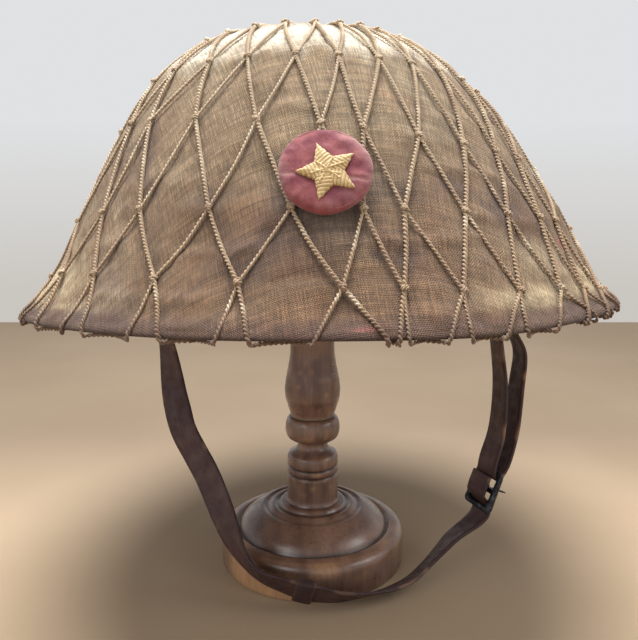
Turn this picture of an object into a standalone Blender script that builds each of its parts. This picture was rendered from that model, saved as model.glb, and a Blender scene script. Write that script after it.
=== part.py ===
"""Pith helmet under a corded net, with its chin strap, on a turned wooden stand.

Metres, +Z up. The origin is the middle of the stand's underside, and the badge faces -Y. The helmet's
pieces are modelled level, with the rim's plane at zero, and hang under an empty that leans them back
as they sit on the stand. The strap hangs from two frames inside the helmet and passes round the front
of the stand's foot.
"""
import math

import bmesh
import bpy
import numpy as np
from mathutils import Euler, Matrix, Vector

# Helmet
BRIM_HALF_WIDTH = 0.140
BRIM_HALF_LENGTH = 0.155
CROWN_HEIGHT = 0.128
CROWN_LEAN = 0.006
SHELL_WALL = 0.003
CLOTH_WALL = 0.0012
HEM_DEPTH = 0.026
RIM_LIFT = 0.0020
RIM_ROUND = 0.0008
GAP = 0.0003

# How the helmet sits on the stand
RIM_HEIGHT = 0.137
SEAT_SHIFT = 0.0035
LEAN_BACK = math.radians(4.0)
LEAN_LEFT = math.radians(1.25)

# Net
CORD_WIDTH = 0.0017
KNOT_HEIGHT = 0.0024
NET_LIFT = 0.0009
MESHES_AROUND = 24
KNOT_HALF_TALL = 1.35 * CORD_WIDTH
KNOT_HALF_WIDE = 0.95 * CORD_WIDTH
CROWN_RING_RADIUS = 0.016
CROWN_PAIR_HALF_WIDTH = 0.8 * CORD_WIDTH
CROWN_END_SPREAD = 0.36
TUCK_DEPTH = 0.012

# Badge
BADGE_RADIUS = 0.0154
BADGE_THICKNESS = 0.0040
STAR_RADIUS = 0.0107
STAR_WAIST = 0.0054
STAR_THICKNESS = 0.0008
BADGE_TURN = math.radians(1.8)
BADGE_HEIGHT_SHARE = 0.400
STAR_TWIST = math.radians(19.0)

# Chin strap and its buckle
STRAP_WIDTH = 0.0140
STRAP_THICKNESS = 0.0017
TURN_BACK = 0.011
KEEPER_LENGTH = 0.0092
KEEPER_WALL = 0.0010
KEEPER_SHIFT = 0.0028
BUCKLE_LENGTH = 0.0220
BAR_WIDTH = 0.0026
BAR_BEVEL = 0.0006
PRONG_WIDTH = 0.0018
PRONG_WALL = 0.0013
PRONG_TIP = 0.0009
PRONG_REACH = 0.0122
ANCHOR_DEPTH = 0.0130
ANCHOR_ROD = 0.0030

# Stand
BASE_RADIUS = 0.0485
BASE_HEIGHT = 0.0315
COLUMN_RADIUS = 0.0134
TURNED_HEIGHT = 0.0845
HEAD_RADIUS = 0.030
HEAD_HEIGHT = 0.024

SHELL_SIDES = 30
BASE_SIDES = 24
COLUMN_SIDES = 14
BADGE_SIDES = 16

# Probes of the upper half of the inner wall, which find how high the stand's head can reach
PROBES_AROUND = 73
PROBES_UP = 60

# The bell's outline: share of the rim's half width, share of the crown's height.
BELL_OUTLINE = (
    (1.000, 0.00),
    (0.941, 0.07),
    (0.868, 0.20),
    (0.769, 0.40),
    (0.671, 0.60),
    (0.573, 0.76),
    (0.460, 0.88),
    (0.310, 0.96),
    (0.000, 1.00),
)

# Dents in the bell: turn in degrees from the front towards the right, height as a share of the
# crown, depth as a share of the rim's half width, half width in degrees, half height as a share.
DENTS = (
    (-78, 0.20, 0.012, 26, 0.10),
    (82, 0.32, -0.009, 30, 0.10),
    (66, 0.78, 0.009, 26, 0.10),
    (-20, 0.24, 0.006, 9, 0.07),
    (140, 0.45, 0.010, 24, 0.14),
    (-135, 0.30, 0.010, 22, 0.12),
)

# Waves of the rim: turn in degrees, drop as a share of the crown's height, half width in degrees.
RIM_WAVES = (
    (24, 0.011, 16),
    (-38, -0.009, 24),
    (118, 0.010, 30),
    (-125, 0.008, 34),
)

# Rows of knots, top row first: height as a share of the crown, how much of it the row loses to
# the right, its place of the first knot given, and the turns in degrees of the knots at the front.
# The other knots of a row go round the back at even spaces.
KNOT_ROWS = (
    (0.935, 0.00, 0.5, (-36, -21, -7, 6, 17, 27, 37)),
    (0.778, 0.02, 0.0, (-44.7, -29.1, -16.7, -3.2, 8.4, 19.6, 30.1, 40.7, 53.3)),
    (0.557, 0.09, -0.5, (-54, -42.6, -26.7, -11.7, 1.6, 10.1, 21.8, 32.7, 42.9, 52.5)),
    (0.322, 0.03, 0.0, (-46.4, -33.9, -18.5, -4.1, 7.8, 14.8, 26.4, 36.4, 46.9, 54.5)),
    (0.130, 0.05, -0.5, (-53, -39.4, -25.2, -11.3, 3.5, 12.1, 21.1, 31.4, 41.4, 49.3, 57.5)),
)
TUCKED_TURNS = (-46, -32, -17.5, -4.5, 8.6, 14, 23, 32, 41, 49)

# Rows of the wall's outer faces, from the pole down, as shares of its length.
OUTER_ROWS = (1.0, 0.95, 0.85, 0.71, 0.54, 0.36, 0.18, 0.07)

# The badge: share of its radius, share of its thickness.
DISC_OUTLINE = (
    (0.960, 0.00),
    (1.000, 0.20),
    (1.000, 0.42),
    (0.940, 0.68),
    (0.780, 0.85),
    (0.450, 0.96),
    (0.120, 1.00),
)

# The foot of the stand: share of its radius, share of its height.
BASE_OUTLINE = (
    (0.978, 0.000),
    (1.000, 0.030),
    (1.000, 0.450),
    (0.980, 0.530),
    (0.925, 0.588),
    (0.850, 0.604),
    (0.828, 0.576),
    (0.806, 0.590),
    (0.782, 0.656),
    (0.732, 0.742),
    (0.646, 0.840),
    (0.554, 0.906),
    (0.510, 0.886),
    (0.464, 0.928),
    (0.424, 0.948),
    (0.378, 0.930),
    (0.330, 1.000),
)

# The column: share of its radius, share of the turned height.
COLUMN_OUTLINE = (
    (1.060, 0.000),
    (1.000, 0.022),
    (1.000, 0.172),
    (0.950, 0.181),
    (1.000, 0.190),
    (1.000, 0.219),
    (0.950, 0.228),
    (1.000, 0.237),
    (1.000, 0.275),
    (0.940, 0.309),
    (0.630, 0.342),
    (0.590, 0.373),
    (0.660, 0.395),
    (0.950, 0.412),
    (1.058, 0.450),
    (1.050, 0.505),
    (0.935, 0.542),
    (0.865, 0.560),
    (0.960, 0.610),
    (1.060, 0.665),
    (1.086, 0.720),
    (1.040, 0.785),
    (0.930, 0.870),
    (0.860, 0.945),
    (0.845, 1.000),
)

# The head that carries the crown: share of its radius, share of its height.
HEAD_OUTLINE = (
    (0.42, 0.00),
    (0.80, 0.22),
    (1.00, 0.48),
    (0.96, 0.66),
    (0.74, 0.86),
    (0.40, 0.97),
)

# Stations of the chin strap from the left frame to the buckle. Sideways is a share of the frame's
# distance from the stand's axis plus a share of the ring just outside the foot, forward a share of
# that ring, up a share of the rim's height plus a share of the strap's width. The face is the angle
# in degrees from facing the viewer towards facing out of the loop.
STRAP_STATIONS = (
    (-0.820, 0.000, -0.10, 0.840, 0.00, 45),
    (-0.752, 0.000, 0.10, 0.615, 0.00, 8),
    (-0.711, 0.000, 0.20, 0.537, 0.00, 6),
    (-0.636, 0.000, 0.31, 0.457, 0.00, 6),
    (-0.562, 0.000, 0.43, 0.381, 0.00, 8),
    (-0.235, -0.450, 0.62, 0.275, 0.00, 14),
    (-0.100, -0.590, 0.77, 0.210, 0.00, 26),
    (0.000, -0.665, 0.90, 0.120, 0.40, 42),
    (0.000, -0.500, 1.030, 0.000, 1.16, 46),
    (0.000, -0.270, 1.090, 0.000, 0.92, 36),
    (0.000, -0.128, 1.112, 0.000, 0.79, 31),
    (0.000, 0.067, 1.116, 0.000, 0.64, 32),
    (0.000, 0.217, 1.105, 0.000, 0.52, 40),
    (0.000, 0.462, 1.050, 0.000, 0.44, 51),
    (0.000, 0.698, 0.940, 0.000, 0.37, 57),
    (0.000, 0.890, 0.810, 0.000, 0.36, 61),
    (0.000, 1.055, 0.650, 0.000, 0.42, 65),
    (0.000, 1.196, 0.540, 0.000, 0.68, 75),
    (0.330, 0.690, 0.400, 0.050, 0.76, 88),
)
KEEPER_STATION = 10
TURN_POINTS = 5
TOP_POINTS = TURN_POINTS + 2

# Stations of the doubled strap between the buckle and the right frame, from the buckle upwards:
# share of the way, bow out of its straight line as a share of the way's length for the inner and
# the outer strand.
DOUBLED_STATIONS = (
    (0.18, 0.024, 0.045),
    (0.42, 0.003, 0.036),
    (0.58, -0.038, 0.022),
    (0.73, -0.070, -0.070),
    (0.88, -0.036, -0.040),
)

# The strap's end in the buckle: shares of the buckle's length up from its middle, and of the bar's
# width towards the loop's outside. It passes outside the lower bar and inside the middle one.
THREADED_END = (
    (-0.700, 1.30),
    (-0.441, 1.18),
    (-0.300, 0.28),
    (-0.170, -1.52),
    (-0.010, -1.74),
    (0.160, -1.74),
    (0.310, -1.72),
)

# Place of the buckle's middle: share of the right frame's distance from the stand's axis, share of
# the ring outside the foot, share of the rim's height, and the angle of its face in degrees.
BUCKLE_PLACE = (0.823, 0.200, 0.307, 112)
BUCKLE_RISE = (0.36, 0.14, 0.92)

# Place of the two frames on the inner wall: turn in degrees, height as a share of the crown.
LEFT_FRAME_PLACE = (-92, 0.30)
RIGHT_FRAME_PLACE = (92, 0.17)

UP = np.array((0.0, 0.0, 1.0))
TOWARDS_VIEWER = np.array((0.0, -1.0, 0.0))
MEAN_HALF_WIDTH = (BRIM_HALF_WIDTH + BRIM_HALF_LENGTH) / 2
FLARE = (1 - BELL_OUTLINE[1][0]) * MEAN_HALF_WIDTH
CLIMB = BELL_OUTLINE[1][1] * CROWN_HEIGHT
RIM_FLARE = FLARE / math.hypot(FLARE, CLIMB)
RIM_CLIMB = CLIMB / math.hypot(FLARE, CLIMB)
SHELL_OUTSIDE = CLOTH_WALL + GAP
SHELL_INSIDE = SHELL_OUTSIDE + SHELL_WALL
HEM_OUTSIDE = SHELL_INSIDE + GAP
HEM_INSIDE = HEM_OUTSIDE + CLOTH_WALL
HEM_MIDDLE = HEM_DEPTH * 0.45
LEVEL_CLOTH = CLOTH_WALL / RIM_CLIMB
LEVEL_SHELL = (CLOTH_WALL + GAP) / RIM_CLIMB
UNDER_WAY = HEM_INSIDE + 2 * NET_LIFT
CORNER_SHARE = 0.06
OVER_RIM = 0.55
TURN_STEP = 0.01
FACET_SAG = BRIM_HALF_LENGTH * (1 - math.cos(math.pi / SHELL_SIDES))
RING_OUT = BASE_RADIUS + GAP + STRAP_THICKNESS / 2
ROD_CORNER = ANCHOR_ROD * math.sqrt(0.5)
BAR_CORNER = BAR_WIDTH * math.sqrt(0.5)


def clear_scene():
    for old in list(bpy.data.objects):
        bpy.data.objects.remove(old, do_unlink=True)


def material(name, colour, roughness, metallic=0.0):
    made = bpy.data.materials.new(name)
    made.use_nodes = True
    shader = made.node_tree.nodes["Principled BSDF"]
    shader.inputs["Base Color"].default_value = (*colour, 1.0)
    shader.inputs["Roughness"].default_value = roughness
    shader.inputs["Metallic"].default_value = metallic
    return made


def solid(name, points, faces, finish, parent=None, smooth_angle=40):
    """One named object whose mesh has its faces pointing out."""
    mesh = bpy.data.meshes.new(name)
    mesh.from_pydata([tuple(map(float, p)) for p in points], [], faces)
    shape = bmesh.new()
    shape.from_mesh(mesh)
    bmesh.ops.recalc_face_normals(shape, faces=shape.faces)
    shape.to_mesh(mesh)
    shape.free()
    mesh.shade_smooth()
    mesh.set_sharp_from_angle(angle=math.radians(smooth_angle))
    mesh.materials.append(finish)
    made = bpy.data.objects.new(name, mesh)
    bpy.context.scene.collection.objects.link(made)
    if parent:
        made.parent = parent
    return made


def smooth_line(rows, steps):
    """Points of a smooth curve through the rows, `steps` to each stretch, both ends kept."""
    rows = np.asarray(rows, float)
    padded = np.vstack((2 * rows[0] - rows[1], rows, 2 * rows[-1] - rows[-2]))
    share = np.arange(steps)[:, None] / steps
    line = []
    for before, start, end, after in zip(padded, padded[1:], padded[2:], padded[3:]):
        line.append(0.5 * (2 * start + (end - before) * share
                           + (2 * before - 5 * start + 4 * end - after) * share ** 2
                           + (3 * start - before - 3 * end + after) * share ** 3))
    return np.vstack(line + [rows[-1:]])


def bell_line():
    """The bell's outline as fine rows of radius share, height share and length from the rim."""
    rows = list(BELL_OUTLINE)
    mirrored = (-rows[-2][0], rows[-2][1])
    line = smooth_line(rows + [mirrored], 40)
    line = line[:40 * (len(rows) - 1) + 1]
    steps = np.hypot(np.diff(line[:, 0]) * MEAN_HALF_WIDTH, np.diff(line[:, 1]) * CROWN_HEIGHT)
    return line[:, 0], line[:, 1], np.concatenate(((0.0,), np.cumsum(steps)))


RADIUS_SHARES, HEIGHT_SHARES, LENGTHS = bell_line()
BELL_LENGTH = LENGTHS[-1]


def length_at_height(share):
    """How far up the bell from the rim a height share lies."""
    return float(np.interp(share, HEIGHT_SHARES, LENGTHS))


def rim_length(depth):
    """How far up the wall the rim's level underside lies, for a depth inwards."""
    return (RIM_LIFT + depth * RIM_FLARE) / RIM_CLIMB


def bell_point(turn, length, depth):
    """Points of the bell's wall, level, for arrays of turn, length up from the rim and depth.

    The outline is carried round an ellipse and moved inwards along its normal by the depth; below
    the rim it goes on straight. Dents move it along the same normal, the rim's waves up and down,
    and the crown leans to the left with the fourth power of the height.
    """
    turn, length, depth = np.broadcast_arrays(*(np.asarray(a, float) for a in (turn, length, depth)))
    inside = np.clip(length, 0, BELL_LENGTH)
    radius = np.interp(inside, LENGTHS, RADIUS_SHARES)
    height = np.interp(inside, LENGTHS, HEIGHT_SHARES)
    step = BELL_LENGTH / 400
    low, high = np.clip(inside - step, 0, None), np.clip(inside + step, None, BELL_LENGTH)
    out = np.interp(high, LENGTHS, RADIUS_SHARES) - np.interp(low, LENGTHS, RADIUS_SHARES)
    climb = np.interp(high, LENGTHS, HEIGHT_SHARES) - np.interp(low, LENGTHS, HEIGHT_SHARES)
    out, climb = out * MEAN_HALF_WIDTH, climb * CROWN_HEIGHT
    at_top = inside > BELL_LENGTH - step
    out, climb = np.where(at_top, -1.0, out), np.where(at_top, 0.0, climb)
    size = np.hypot(out, climb)
    out, climb = out / size, climb / size
    across = np.sin(turn) / BRIM_HALF_WIDTH
    ahead = -np.cos(turn) / BRIM_HALF_LENGTH
    flat = np.hypot(across, ahead)
    across, ahead = across / flat, ahead / flat
    beyond = np.minimum(length, 0.0)
    x = BRIM_HALF_WIDTH * radius * np.sin(turn) + beyond * out * across
    y = -BRIM_HALF_LENGTH * radius * np.cos(turn) + beyond * out * ahead
    z = CROWN_HEIGHT * height + beyond * climb
    pushed = depth.copy()
    for dent_turn, dent_height, dent_depth, half_width, half_height in DENTS:
        away = np.radians((np.degrees(turn) - dent_turn + 180) % 360 - 180) / math.radians(half_width)
        pushed += BRIM_HALF_WIDTH * dent_depth * np.exp(-away ** 2 - ((height - dent_height) / half_height) ** 2)
    for wave_turn, drop, half_width in RIM_WAVES:
        away = ((np.degrees(turn) - wave_turn + 180) % 360 - 180) / half_width
        z = z - CROWN_HEIGHT * drop * np.exp(-away ** 2 - (height / 0.12) ** 2)
    x = x - pushed * climb * across - CROWN_LEAN * height ** 4
    y = y - pushed * climb * ahead
    z = z + pushed * out
    return np.stack((x, y, z), axis=-1)


def turned_shell(name, section, finish, parent):
    """A wall carried round the bell: the section runs from the outer pole to the inner pole.

    Each row of the section is a length up from the rim and a depth inwards. Its first and last rows
    are the two poles.
    """
    turns = np.arange(SHELL_SIDES) * 2 * math.pi / SHELL_SIDES
    rings = [bell_point(turns, length, depth) for length, depth in section[1:-1]]
    first = bell_point(0.0, *section[0])
    last = bell_point(0.0, *section[-1])
    points = np.vstack([first[None]] + rings + [last[None]])
    faces = []
    for side in range(SHELL_SIDES):
        after = (side + 1) % SHELL_SIDES
        faces.append((0, 1 + side, 1 + after))
        for ring in range(len(rings) - 1):
            here, there = 1 + ring * SHELL_SIDES, 1 + (ring + 1) * SHELL_SIDES
            faces.append((here + side, there + side, there + after, here + after))
        end = 1 + (len(rings) - 1) * SHELL_SIDES
        faces.append((end + side, len(points) - 1, end + after))
    return solid(name, points, faces, finish, parent)


def wall_lengths(shares, lowest):
    """Lengths up the bell for shares of it, the last one being the wall's own edge."""
    return [BELL_LENGTH * share for share in shares] + [lowest]


def helmet_shell(parent, finish):
    outer = wall_lengths(OUTER_ROWS, rim_length(SHELL_OUTSIDE) + LEVEL_SHELL)
    inner = wall_lengths((1.0, 0.93, 0.80, 0.62, 0.42, 0.25), HEM_DEPTH)
    inner += [HEM_MIDDLE, rim_length(SHELL_INSIDE) + LEVEL_SHELL]
    section = [(length, SHELL_OUTSIDE) for length in outer]
    section += [(length, SHELL_INSIDE) for length in reversed(inner)]
    return turned_shell("helmet_shell", section, finish, parent)


def cloth_cover(parent, finish):
    """The cloth over the shell, turned under the rim into a hem on the inner wall."""
    outer = wall_lengths(OUTER_ROWS, rim_length(0.0) + RIM_ROUND)
    lining = wall_lengths(OUTER_ROWS, rim_length(CLOTH_WALL) + LEVEL_CLOTH)
    section = [(length, 0.0) for length in outer]
    section += [(rim_length(depth), depth) for depth in (RIM_ROUND, (HEM_OUTSIDE + HEM_INSIDE) / 2)]
    section += [(rim_length(HEM_INSIDE) + RIM_ROUND, HEM_INSIDE), (HEM_MIDDLE, HEM_INSIDE)]
    section += [(HEM_DEPTH, HEM_INSIDE), (HEM_DEPTH, HEM_OUTSIDE), (HEM_MIDDLE, HEM_OUTSIDE)]
    section += [(rim_length(HEM_OUTSIDE) + LEVEL_CLOTH, HEM_OUTSIDE)]
    section += [(length, CLOTH_WALL) for length in reversed(lining)]
    return turned_shell("cloth_cover", section, finish, parent)


def net_point(turn, reach, lift):
    """Points of the net: reach is the way up from the rim's outer corner, and below zero it runs on.

    The way goes down the cloth, across under the rim's level edge and up the hem, always a lift away,
    and inside it also clears the flat sides of the hem.
    """
    reach = np.asarray(reach, float)
    under = np.clip(-reach / UNDER_WAY, 0, 1)
    below = np.clip(under / CORNER_SHARE, 0, 1) * np.clip((1 - under) / CORNER_SHARE, 0, 1)
    inwards = np.clip(under / (1 - CORNER_SHARE), 0, 1)
    depth = -lift + inwards * (HEM_INSIDE + 2 * lift + FACET_SAG)
    up_the_hem = np.clip(-UNDER_WAY - reach, 0, None)
    length = rim_length(np.clip(depth, 0, None)) + np.clip(reach, 0, None) + up_the_hem
    return bell_point(turn, length - lift / RIM_CLIMB * below, depth)


def knot_chart():
    """The net's rows, top row first: place of the first knot, the turns and the reaches."""
    chart = []
    for height, fall, first, shown in KNOT_ROWS:
        turns = whole_row(shown)
        lengths = [length_at_height(height - fall * math.sin(turn)) for turn in turns]
        chart.append((first, turns, np.array(lengths) - rim_length(0.0)))
    tucked = np.full(MESHES_AROUND, -UNDER_WAY - TUCK_DEPTH)
    chart.append((0.0, whole_row(TUCKED_TURNS), tucked))
    return chart


def whole_row(shown):
    """The turns in radians of a whole row: those shown, then the hidden ones at even spaces."""
    hidden = MESHES_AROUND - len(shown)
    start, end = shown[-1], shown[0] + 360
    rest = [start + (end - start) * (i + 1) / (hidden + 1) for i in range(hidden)]
    return np.radians(list(shown) + rest)


def local_radius(turn, reach):
    """Metres to a radian of turn at a place on the net."""
    share = np.interp(max(reach, 0.0), LENGTHS, RADIUS_SHARES)
    return share * math.hypot(BRIM_HALF_WIDTH * math.cos(turn), BRIM_HALF_LENGTH * math.sin(turn))


class NetMesh:
    """Gathers the net's points and faces, two points to each corner of a cord: low and high."""

    def __init__(self):
        self.points = []
        self.faces = []

    def corner(self, turn, reach, high, low=NET_LIFT):
        self.points.append(net_point(turn, reach, low))
        self.points.append(net_point(turn, reach, high))
        return len(self.points) - 2

    def knot(self, turn, reach):
        """Four corners round a knot: above, right, below and left of its middle."""
        tall, wide = KNOT_HALF_TALL, KNOT_HALF_WIDE / local_radius(turn, reach)
        high = NET_LIFT + KNOT_HEIGHT
        spots = ((0, tall), (wide, 0), (0, -tall), (-wide, 0))
        corners = [self.corner(turn + dt, reach + dr, high) for dt, dr in spots]
        self.faces.append([c + 1 for c in corners])
        self.faces.append([c for c in reversed(corners)])
        return corners

    def cross(self, turn, reach, slope_turn, slope_reach, level=False):
        """Two corners across a cord at a place on its way, square to it or both at one reach."""
        radius = local_radius(turn, reach)
        size = math.hypot(slope_turn * radius, slope_reach)
        half = CORD_WIDTH / 2
        side_turn = -slope_reach / size * half / radius
        side_reach = slope_turn * radius / size * half
        if level:
            side_turn, side_reach = -size / slope_reach * half / radius, 0.0
        high = NET_LIFT + CORD_WIDTH
        return (self.corner(turn + side_turn, reach + side_reach, high),
                self.corner(turn - side_turn, reach - side_reach, high))

    def span(self, start, end):
        """Four faces between two pairs of corners."""
        (a, b), (c, d) = start, end
        self.faces.append((a, c, c + 1, a + 1))
        self.faces.append((b + 1, d + 1, d, b))
        self.faces.append((a + 1, c + 1, d + 1, b + 1))
        self.faces.append((b, d, c, a))

    def double_span(self, start, end):
        """Two spans side by side, which share their middle line."""
        for a, b in ((0, 1), (1, 2)):
            self.faces.append((start[a] + 1, end[a] + 1, end[b] + 1, start[b] + 1))
            self.faces.append((start[b], end[b], end[a], start[a]))
        self.faces.append((start[0], end[0], end[0] + 1, start[0] + 1))
        self.faces.append((start[2] + 1, end[2] + 1, end[2], start[2]))

    def cap(self, pair):
        a, b = pair
        self.faces.append((a, a + 1, b + 1, b))


def cord_net(parent, finish):
    """The whole net: a cord from each knot down to its two neighbours in the row below."""
    net = NetMesh()
    chart = knot_chart()
    above, right, below, left = range(4)
    rows = []
    for first, turns, reaches in chart:
        rows.append([net.knot(turn, reach) for turn, reach in zip(turns, reaches)])
    for row in range(len(chart) - 1):
        first, turns, reaches = chart[row]
        next_first, next_turns, next_reaches = chart[row + 1]
        tucked = row == len(chart) - 2
        for i in range(MESHES_AROUND):
            for side in (-0.5, 0.5):
                j = round(first + i + side - next_first) % MESHES_AROUND
                away = (next_turns[j] - turns[i] + math.pi) % (2 * math.pi) - math.pi
                drop = next_reaches[j] - reaches[i]
                if tucked:
                    ways = (OVER_RIM * reaches[i], -CORNER_SHARE * UNDER_WAY, (CORNER_SHARE - 1) * UNDER_WAY)
                    shares = [(way - reaches[i]) / drop for way in ways]
                else:
                    shares = [1 / 3, 2 / 3] if row == 0 else [0.5]
                from_right, from_left = (right, below) if side > 0 else (below, left)
                to_right, to_left = (above, left) if side > 0 else (right, above)
                start = (rows[row][i][from_right], rows[row][i][from_left])
                for share in shares:
                    middle = net.cross(turns[i] + share * away, reaches[i] + share * drop, away, drop, tucked)
                    net.span(start, middle)
                    start = middle
                net.span(start, (rows[row + 1][j][to_right], rows[row + 1][j][to_left]))
    crown_ring(net, rows[0], chart[0])
    for corners in rows[-1]:
        net.cap((corners[right], corners[below]))
        net.cap((corners[below], corners[left]))
    return solid("cord_net", net.points, net.faces, finish, parent, smooth_angle=60)


def crown_ring(net, knots, row):
    """The gathered top: the two cords above each knot of the top row run side by side to a ring."""
    above, right, below, left = range(4)
    first, turns, reaches = row
    high = NET_LIFT + CORD_WIDTH
    ring_reach = BELL_LENGTH - CROWN_RING_RADIUS - rim_length(0.0)
    outer_reach = ring_reach - CORD_WIDTH
    inner_reach = ring_reach + CORD_WIDTH
    step = 2 * math.pi / MESHES_AROUND
    rim, hole = [], []
    for i in range(MESHES_AROUND):
        even = turns[0] + i * step
        away = (even - turns[i] + math.pi) % (2 * math.pi) - math.pi
        turn, reach = turns[i] + 0.5 * away, 0.5 * (reaches[i] + outer_reach)
        half = CROWN_PAIR_HALF_WIDTH / local_radius(turn, reach)
        middle = [net.corner(turn + side * half, reach, high) for side in (1, 0, -1)]
        edge = [net.corner(even + side * CROWN_END_SPREAD * step, outer_reach, high) for side in (1, 0, -1)]
        knot = [knots[i][side] for side in (right, above, left)]
        for start, end in ((knot, middle), (middle, edge)):
            net.double_span(start, end)
        rim.append(edge)
        hole.append(net.corner(even, inner_reach, high))
    for i in range(MESHES_AROUND):
        after = (i + 1) % MESHES_AROUND
        right_end, centre, left_end = rim[i]
        next_left = rim[after][2]
        for up in (0, 1):
            net.faces.append((right_end + up, centre + up, hole[i] + up))
            net.faces.append((centre + up, left_end + up, hole[i] + up))
            net.faces.append((next_left + up, right_end + up, hole[i] + up, hole[after] + up))
        net.faces.append((right_end, right_end + 1, next_left + 1, next_left))
        net.faces.append((hole[after], hole[after] + 1, hole[i] + 1, hole[i]))


def lathe(name, outline, sides, finish, parent=None):
    """A turned piece: an outline of radius and height, closed at both ends by a flat face."""
    angles = np.arange(sides) * 2 * math.pi / sides
    points = [(r * math.cos(a), r * math.sin(a), z) for r, z in outline for a in angles]
    faces = [list(reversed(range(sides)))]
    for ring in range(len(outline) - 1):
        here, there = ring * sides, (ring + 1) * sides
        for side in range(sides):
            after = (side + 1) % sides
            faces.append((here + side, here + after, there + after, there + side))
    end = (len(outline) - 1) * sides
    faces.append([end + side for side in range(sides)])
    return solid(name, points, faces, finish, parent, smooth_angle=35)


def frame_at(turn, length, depth):
    """Matrix of a place on the bell: local +Z points out of the wall and +X to the right."""
    here = bell_point(turn, length, depth)
    right = bell_point(turn + TURN_STEP, length, depth) - bell_point(turn - TURN_STEP, length, depth)
    up = bell_point(turn, length + TURN_STEP * CROWN_HEIGHT, depth) - here
    out = np.cross(right, up)
    out = out / np.linalg.norm(out)
    right = right / np.linalg.norm(right)
    up = np.cross(out, right)
    columns = Matrix((Vector(right), Vector(up), Vector(out))).transposed()
    return Matrix.Translation(Vector(here)) @ columns.to_4x4()


def badge(parent, cloth, straw):
    """The cloth-covered disc and the five-pointed star on its low dome."""
    over_knots = NET_LIFT + KNOT_HEIGHT + GAP
    seat = frame_at(BADGE_TURN, length_at_height(BADGE_HEIGHT_SHARE), -over_knots)
    outline = [(r * BADGE_RADIUS, z * BADGE_THICKNESS) for r, z in DISC_OUTLINE]
    disc = lathe("badge_disc", outline, BADGE_SIDES, cloth, parent)
    disc.matrix_local = seat
    radii, heights = zip(*reversed(outline[3:]))
    points, faces = [], []
    for layer in (GAP, GAP + STAR_THICKNESS):
        points.append((0.0, 0.0, heights[0] + layer))
        for i in range(10):
            radius = STAR_WAIST if i % 2 else STAR_RADIUS
            angle = math.pi / 2 + STAR_TWIST + i * math.pi / 5
            height = float(np.interp(radius, radii, heights)) + layer
            points.append((radius * math.cos(angle), radius * math.sin(angle), height))
    for i in range(10):
        here, after = 1 + i, 1 + (i + 1) % 10
        faces.append((0, after, here))
        faces.append((11, 11 + here, 11 + after))
        faces.append((here, after, 11 + after, 11 + here))
    star = solid("badge_star", points, faces, straw, parent)
    star.matrix_local = seat


def unit(vector):
    return vector / np.linalg.norm(vector)


def face_normal(along, angle):
    """Normal of a strap that runs along a direction, turned by an angle from facing the viewer."""
    ahead = unit(TOWARDS_VIEWER - np.dot(TOWARDS_VIEWER, along) * along)
    return math.cos(angle) * ahead + math.sin(angle) * np.cross(along, ahead)


def even_line(rows, steps):
    """A smooth curve through rows at uneven spaces: each slope leans towards the shorter stretch."""
    ways = np.diff(rows, axis=0)
    gaps = np.linalg.norm(ways, axis=1)[:, None]
    speeds = ways / gaps
    inner = (speeds[:-1] * gaps[1:] + speeds[1:] * gaps[:-1]) / (gaps[:-1] + gaps[1:])
    slopes = np.vstack((speeds[:1], inner, speeds[-1:]))
    share = (np.arange(steps) / steps)[None, :, None]
    smooth = share ** 2 * (3 - 2 * share)
    leave, arrive = share * (1 - share) ** 2, share ** 2 * (share - 1)
    line = (rows[:-1, None] * (1 - smooth) + rows[1:, None] * smooth
            + (slopes[:-1, None] * leave + slopes[1:, None] * arrive) * gaps[:, None])
    return np.vstack((line.reshape(-1, 3), rows[-1:]))


def strap_frames(middles, widths, steps, closed=False):
    """Points along a strap with its direction, its width direction and its face's normal at each."""
    if closed:
        middles = np.vstack((middles[-1:], middles, middles[:2]))
        widths = np.vstack((widths[-1:], widths, widths[:2]))
    line, across = even_line(middles, steps), smooth_line(widths, steps)
    if closed:
        line, across = line[steps:-steps - 1], across[steps:-steps - 1]
        along = np.roll(line, -1, axis=0) - np.roll(line, 1, axis=0)
    else:
        along = np.gradient(line, axis=0)
    along = along / np.linalg.norm(along, axis=1)[:, None]
    across = across - (across * along).sum(axis=1)[:, None] * along
    across = across / np.linalg.norm(across, axis=1)[:, None]
    return line, along, across, np.cross(across, along)


def band(name, middles, widths, finish, closed=False):
    """A flat strap carried along a smooth line through its middles, its width turned to `widths`."""
    line, _, across, normal = strap_frames(middles, widths, 2, closed)
    points = []
    for side, face in ((1, 1), (-1, 1), (-1, -1), (1, -1)):
        points.append(line + side * across * STRAP_WIDTH / 2 + face * normal * STRAP_THICKNESS / 2)
    points = np.stack(points, axis=1).reshape(-1, 3)
    count = len(line)
    faces = []
    for i in range(count if closed else count - 1):
        here, there = 4 * i, 4 * ((i + 1) % count)
        for side in range(4):
            after = (side + 1) % 4
            faces.append((here + side, there + side, there + after, here + after))
    if not closed:
        faces += [(3, 2, 1, 0), tuple(4 * (count - 1) + side for side in range(4))]
    return solid(name, points, faces, finish, smooth_angle=50)


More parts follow.
